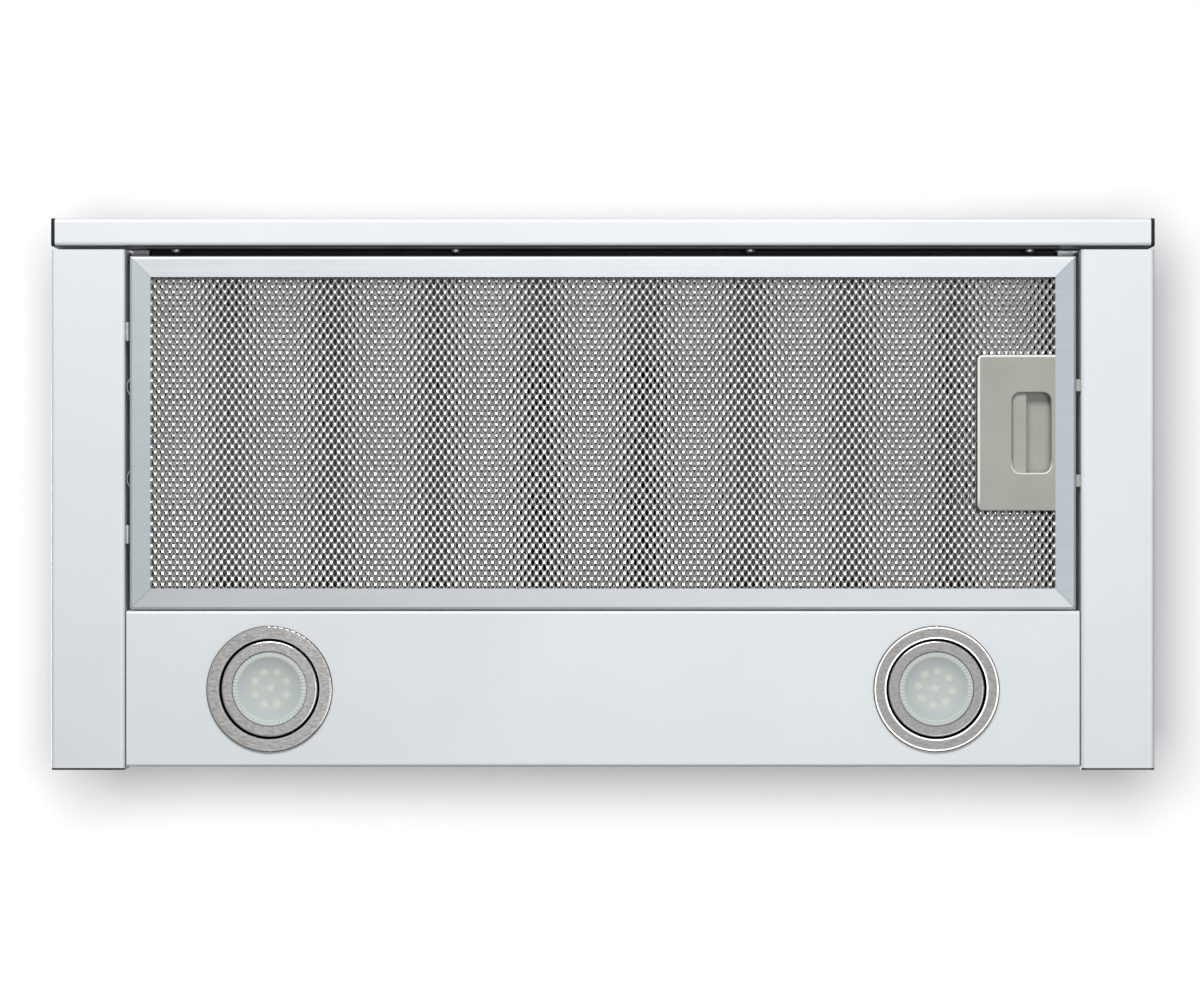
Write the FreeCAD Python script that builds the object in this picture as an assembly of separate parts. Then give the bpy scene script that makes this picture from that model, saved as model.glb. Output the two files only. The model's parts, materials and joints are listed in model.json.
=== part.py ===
import FreeCAD, Part
import math
import os
from FreeCAD import Vector

# Telescopic under cabinet range hood, in millimetres.
# +Z is up, the slide-out front faces -Y and X runs across the hood.
# The origin is the centre of the four cabinet screws, on the deck plate's top face (Z = 0).
# The canopy hangs below Z = 0 and the blower box stands above it, inside the cabinet.

# ---- Driving dimensions: canopy ----
hood_width = 600.0            # across the rails' outer faces
hood_depth = 300.0            # fascia's front face to the rails' rear ends, slide-out shut
canopy_height = 42.0          # deck plate's top face down to the rails' lower faces
deck_sheet = 1.0
deck_edge_inset = 1.0         # deck edge inside the rails' outer faces
rail_width = 40.0
rail_sheet = 1.0
rail_lip = 12.0
rail_bend = 1.2               # inside radius of the rails' folds
panel_depth = 84.8            # light panel, front to back
panel_sheet = 0.8
panel_recess = 1.0            # light panel's lower face above the rails' lower faces
panel_side_gap = 0.8
panel_rear_inset = 1.6
panel_lip = 11.0
panel_bend = 1.0

# ---- Driving dimensions: fascia and slide-out ----
fascia_depth = 15.2
fascia_height = 40.0
fascia_sheet = 1.0
fascia_bend = 1.5
fascia_cap = 2.0              # thickness of the plastic end caps
fascia_cap_corner = 2.0
fascia_cap_plug = 9.0         # how far a cap's plug reaches into the fascia
fascia_flange = 22.0          # height of the fascia's rear flange
fascia_gap = 1.9              # fascia to the rails' front ends
screw_offset_inner = 80.5
screw_offset_outer = 233.3
fascia_screw_height = 12.0    # screws above the fascia's lower face
fascia_screw_shank = 2.0
fascia_screw_head = 2.75
fascia_screw_dome = 2.1
slide_travel = 155.0
channel_depth = 10.0          # slide channel, out from the rail's inner wall
channel_height = 13.0
channel_sheet = 1.0
channel_top_drop = 7.0        # channel's top face below Z = 0
channel_rear_inset = 9.0
runner_clearance = 0.4        # runner inside its channel, above and below
runner_wall_clearance = 0.6   # runner's outer edge to the channel's web
runner_rear_overhang = 50.0   # runner behind the tray's rear bar
runner_sheet = 1.0
pad_length = 16.0
runner_bend = 0.4
pad_clearance = 0.2           # glide pad to the channel's web
tray_side_gap = 1.0           # tray's side wall to the channel's mouth
tray_sheet = 1.0
tray_front_sheet = 1.2
tray_ledge = 14.0             # width of the ledge that the slide-out filter rests on
tray_rear_gap = 4.0           # tray's rear bar ahead of the light panel's front edge
tray_front_drop = 33.0        # tray's front wall, below its top edge
slide_filter_thickness = 8.0

# ---- Driving dimensions: buttons and switches ----
button_count = 5
button_size = 11.8
button_pitch = 18.0
button_travel = 2.2
button_end_inset = 28.0       # last button's centre to the fascia's right end
button_rim = 1.4              # rim that keeps the cap behind the fascia's sheet
button_rim_depth = 1.5
button_clearance = 0.3
button_height = 18.0          # buttons' centre line below the fascia's top face
stem_radius = 2.0
stem_clearance = 0.15
stem_entry = 1.5              # stem inside the switch block at rest
block_front_gap = 9.0         # fascia's front face to the switch block
block_margin = 12.0           # switch block beyond the outer buttons' centres
door_switch_length = 20.0
door_switch_gap = 3.0         # runner's end to the door switch body
plunger_radius = 1.5
plunger_tip_gap = 0.4         # runner's end to the plunger's tip
plunger_travel = 1.0

# ---- Driving dimensions: grease filter ----
filter_side_gap = 2.5         # filter frame to the rails' inner walls
filter_front_gap = 5.4        # fascia's rear face to the filter's front edge
filter_rear_gap = 0.7         # filter's rear edge to the light panel
filter_recess = 1.0           # filter's lower face above the rails' lower faces
filter_thickness = 9.0
bar_width = 11.4
bar_sheet = 1.0
bar_bend = 0.6
mitre_gap = 0.1
mesh_thickness = 0.8
mesh_edge_clearance = 0.4
hook_width = 10.0
hook_offset = 55.2            # hooks either side of the filter's middle
hook_sheet = 1.4
hook_reach = 3.5              # hook tip beyond the rail's inner wall's middle
hook_leg_height = 6.0
hook_slot_side = 0.8
hook_slot_bottom = 0.6        # hinge slot's lower edge above the hinge axis
hook_slot_top = 6.3           # hinge slot's upper edge above the hinge axis
clip_width = 9.0
clip_offset = 25.0
clip_stand_off = 1.8
clip_sheet = 0.5

# ---- Driving dimensions: filter latch ----
latch_width = 42.4
latch_length = 85.0
latch_corner = 3.0
latch_edge = 0.8              # rounding of the face plate's edges
latch_plate_sheet = 1.6
latch_wall = 1.5
latch_height = 7.8
pocket_width = 20.7
pocket_length = 43.5
pocket_corner = 4.2
pocket_rim = 0.6              # rounding of the pocket's edge
pocket_edge = 2.6             # pocket to the plate's right edge
grip_width = 7.0              # slider's finger grip, seen at the pocket's left
slider_length = 68.0
slider_thickness = 3.0
slider_clearance = 0.3
slider_spring_room = 6.8      # housing's left wall to the slider
latch_back_sheet = 1.0
grip_inset = 0.6              # grip to the pocket's left edge
bolt_width = 6.5
bolt_offset = 26.0
bolt_reach = 4.0              # bolt tip beyond the rail's inner face
bolt_clearance = 0.4
latch_travel = 5.0
spring_sheet = 0.4
spring_height = 3.0
spring_span = 22.0
spring_offset = 18.0
spring_gap = 0.1              # bowed spring's middle to the slider

# ---- Driving dimensions: lamps ----
lamp_offset = 181.3           # lamps either side of the hood's middle
bezel_radius = 34.3
bezel_bore = 27.4
bezel_thickness = 1.6
bezel_edge = 0.7
neck_radius = 29.7
neck_wall = 1.3
neck_height = 5.0
can_clearance = 0.3
can_wall = 0.8
can_height = 31.0
can_collar_height = 6.0
ring_gap = 1.4                # bezel's bore to the lamp ring
lamp_ring_radius = 26.0
lamp_ring_bore = 20.5
lamp_ring_thickness = 3.0
lamp_ring_edge = 0.8
skirt_wall = 1.0
skirt_height = 13.0
lens_clearance = 0.3
lens_thickness = 2.5
lens_recess = 0.6
led_count = 8
led_circle = 9.4
led_radius = 1.65
led_height = 1.2
led_board_thickness = 1.2
led_board_depth = 8.0         # board's lower face above the lamp ring's lower face
lamp_base_radius = 9.0
lamp_base_clearance = 0.08
lamp_base_height = 8.0
lamp_turn_left = 22.5         # clocking of each lamp's ring of LEDs, in degrees
lamp_turn_right = 8.0

# ---- Driving dimensions: deck, blower box and rivets ----
cabinet_screw_x = 480.0
cabinet_screw_y = 200.0
cabinet_screw_hole = 2.75
box_width = 440.0
box_depth = 248.0
box_height = 132.0
box_rear_inset = 14.0         # box's rear wall ahead of the rails' rear ends
box_sheet = 0.8
box_bend = 1.2
box_flange = 12.0
side_clearance = 0.2          # box sides to the end panels and the top
intake_side_margin = 25.0     # deck left between the box's side and the intake opening
intake_front_margin = 17.0
intake_rear_margin = 91.0
intake_corner = 12.0
rivet_radius = 1.6
rivet_head = 3.2
rivet_head_height = 1.0
rail_rivets = 4
box_rivets = 4
rivet_end_inset = 22.0

# ---- Driving dimensions: blower, outlet and flaps ----
duct_radius = 60.0            # outside of the outlet collar
duct_wall = 2.0
duct_height = 28.0
collar_flange_width = 12.0
collar_flange_thickness = 2.0
collar_flange_corner = 8.0
duct_y = 38.0                 # outlet's axis behind the origin
collar_screw_radius = 1.8
collar_screw_head = 3.4
scroll_width = 120.0
scroll_wall = 2.0
scroll_start = 52.0           # inside radius at the tongue
scroll_growth = 18.0          # growth of that radius over a full turn
scroll_y = -14.0
scroll_z = 67.0
tongue_angle = 40.0           # tongue, in degrees from straight up towards the rear
inlet_radius = 39.0
impeller_radius = 46.0
blade_depth = 9.0
blade_count = 30
blade_thickness = 1.2
impeller_half_width = 52.0
impeller_ring = 2.0
hub_radius = 12.0
hub_disc = 2.4
hub_length = 14.0
motor_radius = 31.0
motor_wall = 2.0
motor_length = 50.0
motor_gap = 2.0               # motor's end to the impeller's hub
stator_bore = 20.0
stator_clearance = 0.2
stator_length = 24.0
rotor_gap = 0.8
shaft_radius = 4.0
shaft_clearance = 0.05
bearing_radius = 11.0
bearing_width = 6.0
bracket_sheet = 2.0
bracket_hub = 36.0
bracket_arm = 14.0
bracket_reach = 48.0
flap_clearance = 1.0          # flap's rim to the collar's inside
flap_sheet = 1.2
flap_cut = 3.4                # plate's straight edge from the pin's axis
knuckle_radius = 3.0
knuckle_bore_clearance = 0.1
knuckle_length = 12.0
knuckle_end_gap = 3.0         # front flap's knuckles to the flap's ends
knuckle_gap = 6.0             # front flap's knuckles to the rear flap's
flap_pin_radius = 1.5
flap_pin_height = 8.0         # pin's axis above the collar's flange
pin_boss_length = 6.0
seat_width = 3.0
seat_clearance = 0.4

# ---- Driving dimensions: electrical parts ----
driver_size = (62.0, 36.0, 22.0)
terminal_size = (64.0, 56.0, 36.0)
terminal_wall = 2.0
gland_radius = 8.0
gland_bore = 4.0
gland_length = 16.0
gland_x = 168.0
gland_z = 24.0
capacitor_radius = 14.0
capacitor_length = 52.0

# ---- Places worked out from the driving dimensions ----
x_side = hood_width / 2
y_front = -hood_depth / 2
y_rear = hood_depth / 2
z_under = -canopy_height
z_deck = -deck_sheet                        # deck plate's lower face
x_wall = x_side - rail_width                # rails' inner faces
y_fascia_back = y_front + fascia_depth
y_rail_front = y_fascia_back + fascia_gap
y_panel_front = y_rear - panel_rear_inset - panel_depth
y_panel_rear = y_rear - panel_rear_inset
z_panel = z_under + panel_recess
z_channel_top = -channel_top_drop
z_channel_bottom = z_channel_top - channel_height
x_tray = x_wall - channel_depth - tray_side_gap
x_box = box_width / 2
y_box_rear = y_rear - box_rear_inset
y_box_front = y_box_rear - box_depth
filter_front = y_fascia_back + filter_front_gap
filter_rear = y_panel_front - filter_rear_gap
filter_mid = (filter_front + filter_rear) / 2
filter_side = x_wall - filter_side_gap
z_filter = z_under + filter_recess
z_filter_top = z_filter + filter_thickness
latch_right = filter_side - bar_width
latch_left = latch_right - latch_width
pocket_right = latch_right - pocket_edge
pocket_left = pocket_right - pocket_width
slider_left = latch_left + latch_wall + slider_spring_room
z_slider = z_filter + latch_plate_sheet + slider_clearance
lamp_y = (y_panel_front + y_panel_rear) / 2

os.makedirs("parts", exist_ok=True)


# ---- Shape helpers ----
def block(x0, x1, y0, y1, z0, z1):
    """A box between two corners."""
    return Part.makeBox(x1 - x0, y1 - y0, z1 - z0, Vector(x0, y0, z0))


def rod(radius, start, direction, length):
    """A solid cylinder from a point along a direction."""
    return Part.makeCylinder(radius, length, Vector(*start), Vector(*direction))


def tube(outer, inner, start, direction, length):
    """A hollow cylinder from a point along a direction."""
    return rod(outer, start, direction, length).cut(rod(inner, start, direction, length))


def on_plane(plane, u, v, offset):
    """A point of a drawing plane, at an offset along the plane's normal."""
    if plane == "yz":
        return Vector(offset, u, v)
    if plane == "xz":
        return Vector(u, offset, v)
    return Vector(u, v, offset)


def along(plane, length):
    """The drawing plane's normal, at a length."""
    return on_plane(plane, 0, 0, length)


def outline_wire(points, radii, plane, offset):
    """A closed outline with a tangent arc at each corner that has a radius."""
    edges = []
    ends = []
    count = len(points)
    for index in range(count):
        corner = Vector(*points[index], 0)
        radius = radii[index]
        if radius <= 0:
            ends.append((corner, corner, None))
            continue
        before = (Vector(*points[index - 1], 0) - corner).normalize()
        after = (Vector(*points[(index + 1) % count], 0) - corner).normalize()
        half = before.getAngle(after) / 2
        reach = radius / math.tan(half)
        bisector = (before + after).normalize()
        middle = corner + bisector * (radius / math.sin(half) - radius)
        ends.append((corner + before * reach, corner + after * reach, middle))
    for index in range(count):
        first, last, middle = ends[index]
        if middle is not None:
            arc = [on_plane(plane, p.x, p.y, offset) for p in (first, middle, last)]
            edges.append(Part.Arc(*arc).toShape())
        start = on_plane(plane, last.x, last.y, offset)
        follower = ends[(index + 1) % count][0]
        stop = on_plane(plane, follower.x, follower.y, offset)
        if start.distanceToPoint(stop) > 1e-6:
            edges.append(Part.LineSegment(start, stop).toShape())
    return Part.Wire(Part.__sortEdges__(edges))


def prism(points, radii, plane, start, end):
    """A solid of an outline, between two offsets along the plane's normal."""
    if not isinstance(radii, (list, tuple)):
        radii = [radii] * len(points)
    face = Part.Face(outline_wire(points, radii, plane, start))
    return face.extrude(along(plane, end - start))


def rectangle(u0, u1, v0, v1):
    """The four corners of a rectangle."""
    return [(u0, v0), (u1, v0), (u1, v1), (u0, v1)]


def slab(x0, x1, y0, y1, z0, z1, corner):
    """A plate with rounded upright corners."""
    return prism(rectangle(x0, x1, y0, y1), corner, "xy", z0, z1)


def folded(path, sheet, bend, plane, start, end):
    """A folded sheet: the path runs along one face and the sheet lies on the path's left."""
    normals = []
    for first, last in zip(path, path[1:]):
        step = Vector(*last, 0) - Vector(*first, 0)
        step.normalize()
        normals.append(Vector(-step.y, step.x, 0))
    other = [Vector(*path[0], 0) + normals[0] * sheet]
    path_radii = [0.0]
    other_radii = [0.0]
    for index in range(1, len(path) - 1):
        one = normals[index - 1]
        two = normals[index]
        other.append(Vector(*path[index], 0) + (one + two) * (sheet / (1 + one.dot(two))))
        turns_left = one.cross(two).z > 0
        path_radii.append(bend + sheet if turns_left else bend)
        other_radii.append(bend if turns_left else bend + sheet)
    other.append(Vector(*path[-1], 0) + normals[-1] * sheet)
    path_radii.append(0.0)
    other_radii.append(0.0)
    points = list(path) + [(p.x, p.y) for p in reversed(other)]
    return prism(points, path_radii + other_radii[::-1], plane, start, end)


def mirrored(shape):
    """The same piece on the hood's other side."""
    return shape.mirror(Vector(0, 0, 0), Vector(1, 0, 0))


def fused(shapes):
    """One solid of several touching or crossing ones."""
    return shapes[0].multiFuse(shapes[1:]).removeSplitter()


def cut_all(shape, tools):
    """A shape with every tool taken out of it."""
    return shape.cut(Part.makeCompound(tools)).removeSplitter()


def save(name, shape):
    """Write one node."""
    if isinstance(shape, list):
        shape = Part.makeCompound(shape)
    shape.exportStep("parts/" + name + ".step")
    solids = len(shape.Solids)
    print(name, "solids", solids, "volume", round(shape.Volume, 1), "valid", shape.isValid())


def spread(low, high, count):
    """Evenly spaced values from low to high."""
    return [low + (high - low) * index / (count - 1) for index in range(count)]


# ---- Canopy: deck, rails, light panel ----
def cabinet_screw_holes():
    """Cutters for the four cabinet screws."""
    places = [(sx * cabinet_screw_x / 2, sy * cabinet_screw_y / 2) for sx in (-1, 1) for sy in (-1, 1)]
    return [rod(cabinet_screw_hole, (x, y, z_deck - 1), (0, 0, 1), deck_sheet + 2) for x, y in places]


def rail_rivet_places():
    """Rivets that hold the deck to the rails' outer lips."""
    ys = spread(y_rail_front + rivet_end_inset, y_rear - rivet_end_inset, rail_rivets)
    x = x_side - rail_sheet - rail_lip / 2
    return [(side * x, y) for side in (-1, 1) for y in ys]


def box_rivet_places():
    """Rivets that hold the blower box's inward flanges to the deck."""
    x = x_box - box_sheet - box_flange / 2
    ys = spread(y_box_front + rivet_end_inset, y_box_rear - rivet_end_inset, box_rivets)
    sides = [(side * x, y) for side in (-1, 1) for y in ys]
    xs = spread(-x_box + 3 * rivet_end_inset, x_box - 3 * rivet_end_inset, box_rivets)
    fronts = [(x, y_box_front + box_sheet + box_flange / 2) for x in xs]
    rears = [(x, y_box_rear - box_sheet - box_flange / 2) for x in xs]
    return sides + fronts + rears


def rivet_holes(places, z0, z1):
    """Cutters for rivet shanks between two heights."""
    return [rod(rivet_radius, (x, y, z0), (0, 0, 1), z1 - z0) for x, y in places]


intake = (
    -x_box + intake_side_margin,
    x_box - intake_side_margin,
    y_box_front + intake_front_margin,
    y_box_rear - intake_rear_margin,
)


def make_deck():
    """The sheet between canopy and blower box, with the opening that the blower draws through."""
    edge = x_side - deck_edge_inset
    plate = slab(-edge, edge, y_rail_front + deck_edge_inset, y_rear - deck_edge_inset, z_deck, 0, 3.0)
    opening = slab(*intake, z_deck - 1, 1, intake_corner)
    holes = rivet_holes(rail_rivet_places() + box_rivet_places(), z_deck - 1, 1)
    return cut_all(plate, [opening] + cabinet_screw_holes() + holes)


def hinge_slot(y_middle):
    """The slot in the left rail's inner wall that a filter hook turns in."""
    half = hook_width / 2 + hook_slot_side
    z0 = z_filter + hook_slot_bottom
    z1 = z_filter + hook_slot_top
    return block(-x_wall - rail_sheet - 1, -x_wall + 1, y_middle - half, y_middle + half, z0, z1)


def bolt_slot(y_middle):
    """The slot in the right rail's inner wall that a latch bolt enters."""
    half = bolt_width / 2 + bolt_clearance
    z0 = z_slider - bolt_clearance
    z1 = z_slider + slider_thickness + bolt_clearance
    return block(x_wall - 1, x_wall + rail_sheet + 1, y_middle - half, y_middle + half, z0, z1)


def plain_rail():
    """The right rail before its slots: a folded channel under the deck with closed ends."""
    z_top = z_deck
    lip_end = x_side - rail_sheet - rail_lip
    inner_lip_end = x_wall + rail_sheet + rail_lip
    path = [
        (inner_lip_end, z_top),
        (x_wall, z_top),
        (x_wall, z_under),
        (x_side, z_under),
        (x_side, z_top),
        (lip_end, z_top),
    ]
    skin = folded(path, rail_sheet, rail_bend, "xz", y_rail_front, y_rear)
    inset = 0.3 * (rail_sheet + rail_bend)  # the ends' corners stay inside the folds
    ends = []
    for y in (y_rail_front, y_rear - rail_sheet):
        corners = rectangle(x_wall + inset, x_side - inset, z_under + inset, z_top - inset)
        ends.append(prism(corners, 0.0, "xz", y, y + rail_sheet))
    return fused([skin] + ends)


def make_rail_right():
    """Right rail, with the latch bolts' slots and the rivets' holes."""
    slots = [bolt_slot(filter_mid + side * bolt_offset) for side in (-1, 1)]
    holes = rivet_holes([p for p in rail_rivet_places() if p[0] > 0], z_deck - rail_sheet - 1, z_deck + 1)
    return cut_all(plain_rail(), slots + holes)


def make_rail_left():
    """Left rail, with the filter hooks' slots and the rivets' holes."""
    slots = [hinge_slot(filter_mid + side * hook_offset) for side in (-1, 1)]
    holes = rivet_holes([p for p in rail_rivet_places() if p[0] < 0], z_deck - rail_sheet - 1, z_deck + 1)
    return cut_all(mirrored(plain_rail()), slots + holes)


def make_light_panel():
    """Folded panel behind the filter, with the two lamp holes; its rear lip closes the canopy."""
    half = x_wall - panel_side_gap
    path = [
        (y_panel_front, z_panel + panel_lip),
        (y_panel_front, z_panel),
        (y_panel_rear, z_panel),
        (y_panel_rear, z_deck),
    ]
    skin = folded(path, panel_sheet, panel_bend, "yz", -half, half)
    inset = panel_sheet + panel_bend
    lip_low = z_panel + panel_sheet / 2
    lips = []
    for side in (-half, half - panel_sheet):
        lip = block(side, side + panel_sheet, y_panel_front + inset, y_panel_rear - inset,
                    lip_low, z_panel + panel_lip)
        lips.append(lip)
    holes = [
        rod(neck_radius + 0.3, (side * lamp_offset, lamp_y, z_panel - 1), (0, 0, 1), panel_sheet + 2)
        for side in (-1, 1)
    ]
    return cut_all(fused([skin] + lips), holes)


def make_rivets():
    """Countersunk rivets, flush with the deck where the cabinet rests on it."""
    rivets = []
    for x, y in rail_rivet_places():
        foot = z_deck - rail_sheet
        shank = rod(rivet_radius, (x, y, foot), (0, 0, 1), deck_sheet + rail_sheet)
        head = rod(rivet_head, (x, y, foot - rivet_head_height), (0, 0, 1), rivet_head_height)
        rivets.append(shank.fuse(head))
    for x, y in box_rivet_places():
        foot = z_deck - rivet_head_height
        shank = rod(rivet_radius, (x, y, foot), (0, 0, 1), deck_sheet + box_sheet + 2 * rivet_head_height)
        lower = rod(rivet_head, (x, y, foot), (0, 0, 1), rivet_head_height)
        upper = rod(rivet_head, (x, y, box_sheet), (0, 0, 1), rivet_head_height)
        rivets.append(shank.fuse([lower, upper]))
    return rivets


# ---- Blower box ----
def on_end_panel(place):
    """Whether a box rivet is in the front or rear panel's flange."""
    return abs(place[0]) < x_box - box_flange - box_sheet


def make_box_front():
    """Front panel of the blower box, flanged inwards at the deck and under the top."""
    z_roof = box_height - box_sheet
    path = [
        (y_box_front + box_flange, z_roof),
        (y_box_front, z_roof),
        (y_box_front, 0.0),
        (y_box_front + box_flange, 0.0),
    ]
    panel = folded(path, box_sheet, box_bend, "yz", -x_box, x_box)
    places = [p for p in box_rivet_places() if on_end_panel(p) and p[1] < 0]
    return cut_all(panel, rivet_holes(places, -1, box_sheet + 1))


def make_box_rear():
    """Rear panel of the blower box, with the cable gland's hole."""
    z_roof = box_height - box_sheet
    path = [
        (y_box_rear - box_flange, 0.0),
        (y_box_rear, 0.0),
        (y_box_rear, z_roof),
        (y_box_rear - box_flange, z_roof),
    ]
    panel = folded(path, box_sheet, box_bend, "yz", -x_box, x_box)
    gland = rod(gland_radius, (gland_x, y_box_rear - 3, gland_z), (0, 1, 0), 6)
    places = [p for p in box_rivet_places() if on_end_panel(p) and p[1] > 0]
    return cut_all(panel, [gland] + rivet_holes(places, -1, box_sheet + 1))


def make_box_top():
    """Flat top of the blower box, with the outlet's hole and the collar's screw holes."""
    z_roof = box_height - box_sheet
    plate = slab(-x_box, x_box, y_box_front, y_box_rear, z_roof, box_height, box_bend)
    hole = rod(duct_radius - duct_wall, (0, duct_y, z_roof - 1), (0, 0, 1), box_sheet + 2)
    screws = [
        rod(collar_screw_radius, (x, y, z_roof - 1), (0, 0, 1), box_sheet + 2)
        for x, y in collar_screw_places()
    ]
    return cut_all(plate, [hole] + screws)


def make_box_side():
    """Right side of the blower box, between its end panels, flanged at the deck and under the top."""
    z_roof = box_height - box_sheet - side_clearance
    path = [
        (x_box - box_flange, 0.0),
        (x_box, 0.0),
        (x_box, z_roof),
        (x_box - box_flange, z_roof),
    ]
    y0 = y_box_front + box_flange + side_clearance
    y1 = y_box_rear - box_flange - side_clearance
    flanges = folded(path, box_sheet, box_bend, "xz", y0, y1)
    wall = block(x_box - box_sheet, x_box,
                 y_box_front + box_sheet + side_clearance, y_box_rear - box_sheet - side_clearance,
                 2 * box_sheet + box_bend, z_roof - box_sheet - box_bend)
    holes = rivet_holes([p for p in box_rivet_places() if not on_end_panel(p) and p[0] > 0], -1, box_sheet + 1)
    return cut_all(fused([flanges, wall]), holes)


# ---- Outlet: scroll flange, collar, flaps ----
def collar_screw_places():
    """Screws at the corners of the collar's square flange."""
    reach = duct_radius + collar_flange_width - 2 * collar_screw_head
    return [(sx * reach, duct_y + sy * reach) for sx in (-1, 1) for sy in (-1, 1)]


def make_outlet_collar():
    """Round duct collar on a square flange, with the flaps' seat and the pin's bosses."""
    half = duct_radius + collar_flange_width
    z0 = box_height
    bore = duct_radius - duct_wall
    flange = slab(-half, half, duct_y - half, duct_y + half, z0, z0 + collar_flange_thickness,
                  collar_flange_corner)
    pipe = rod(duct_radius, (0, duct_y, z0), (0, 0, 1), collar_flange_thickness + duct_height)
    body = flange.fuse(pipe)
    body = body.cut(rod(bore, (0, duct_y, z0 - 1), (0, 0, 1), duct_height + collar_flange_thickness + 2))
    z_pin = z0 + flap_pin_height
    z_seat = z_pin - knuckle_radius - seat_clearance
    seat = tube(bore + 0.5, bore - seat_width, (0, duct_y, z0), (0, 0, 1), z_seat - z0)
    bar_half = flap_cut + seat_width
    bar = block(-bore, bore, duct_y - bar_half, duct_y + bar_half, z0, z_seat)
    bar = bar.common(rod(bore + 0.5, (0, duct_y, z0), (0, 0, 1), duct_height))
    bosses = []
    for x in (-bore, bore - pin_boss_length):
        boss = block(x, x + pin_boss_length, duct_y - knuckle_radius, duct_y + knuckle_radius,
                     z0, z_pin + knuckle_radius)
        bosses.append(boss.common(rod(bore + 0.5, (0, duct_y, z0), (0, 0, 1), duct_height)))
    pin_hole = rod(flap_pin_radius, (-bore + 1, duct_y, z_pin), (1, 0, 0), 2 * bore - 2)
    screws = [rod(collar_screw_radius, (x, y, z0 - 1), (0, 0, 1), 9) for x, y in collar_screw_places()]
    return cut_all(fused([body, seat, bar] + bosses), [pin_hole] + screws)


def make_flap_pin():
    """Steel pin that both flaps hang on."""
    bore = duct_radius - duct_wall
    return rod(flap_pin_radius, (-bore + 1, duct_y, box_height + flap_pin_height), (1, 0, 0), 2 * bore - 2)


flap_reach = duct_radius - duct_wall - pin_boss_length - flap_clearance
front_knuckle = flap_reach - knuckle_end_gap - knuckle_length
rear_knuckle = front_knuckle - knuckle_gap - knuckle_length


def make_flap(side, knuckle_start):
    """A half-round flap lying shut; side is -1 for the front one and 1 for the rear one."""
    bore = duct_radius - duct_wall
    z_pin = box_height + flap_pin_height
    z0 = z_pin - knuckle_radius
    plate = rod(bore - flap_clearance, (0, duct_y, z0), (0, 0, 1), flap_sheet)
    reach = flap_reach
    low, high = sorted((duct_y + side * flap_cut, duct_y + side * bore))
    plate = plate.common(block(-reach, reach, low, high, z0, z0 + flap_sheet))
    pieces = [plate]
    starts = (-knuckle_start - knuckle_length, knuckle_start)
    for x in starts:
        low, high = sorted((duct_y, duct_y + side * (flap_cut + 1)))
        pieces.append(rod(knuckle_radius, (x, duct_y, z_pin), (1, 0, 0), knuckle_length))
        pieces.append(block(x, x + knuckle_length, low, high, z0, z0 + flap_sheet))
    bores = [
        rod(flap_pin_radius + knuckle_bore_clearance, (x - 1, duct_y, z_pin), (1, 0, 0), knuckle_length + 2)
        for x in starts
    ]
    return cut_all(fused(pieces), bores)


def make_collar_screws():
    """Screws through collar, roof and scroll flange."""
    screws = []
    foot = box_height - box_sheet - scroll_wall - 2
    top = box_height + collar_flange_thickness
    for x, y in collar_screw_places():
        shank = rod(collar_screw_radius, (x, y, foot), (0, 0, 1), top - foot)
        dome = rod(collar_screw_head, (x, y, top), (0, 0, 1), 2.0)
        dome = dome.makeFillet(1.2, [dome.Edges[0]])
        screws.append(shank.fuse(dome))
    return screws


# ---- Blower: scroll, impeller, motor ----
def spiral_point(angle, extra):
    """A point of the scroll's spiral; the angle runs from the tongue towards the front."""
    radius = scroll_start + extra + scroll_growth * angle / 360
    turn = math.radians(90 - tongue_angle + angle)
    return scroll_y + radius * math.cos(turn), scroll_z + radius * math.sin(turn)


def scroll_solid(extra, half_width):
    """The scroll's inside, or its outside with the wall's thickness as extra."""
    roof = box_height - box_sheet
    mouth = duct_radius - duct_wall + extra
    last = 270 + tongue_angle
    centre = Vector(-half_width, scroll_y, scroll_z)
    edges = []
    angles = spread(0, last, 5)
    for first, second in zip(angles, angles[1:]):
        middle = (first + second) / 2
        arc = [on_plane("yz", *spiral_point(a, extra), -half_width) for a in (first, middle, second)]
        edges.append(Part.Arc(*arc).toShape())
    start = edges[0].Vertexes[0].Point
    end = edges[-1].Vertexes[-1].Point
    edges.append(Part.LineSegment(end, centre).toShape())
    edges.append(Part.LineSegment(centre, start).toShape())
    spiral = Part.Face(Part.Wire(Part.__sortEdges__(edges)))
    rear_lip = Vector(-half_width, duct_y + mouth, roof)
    front_lip = Vector(-half_width, duct_y - mouth, roof)
    throat = Part.Face(Part.makePolygon([centre, end, rear_lip, front_lip, start, centre]))
    length = Vector(2 * half_width, 0, 0)
    return spiral.extrude(length).fuse(throat.extrude(length)).removeSplitter()


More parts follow.
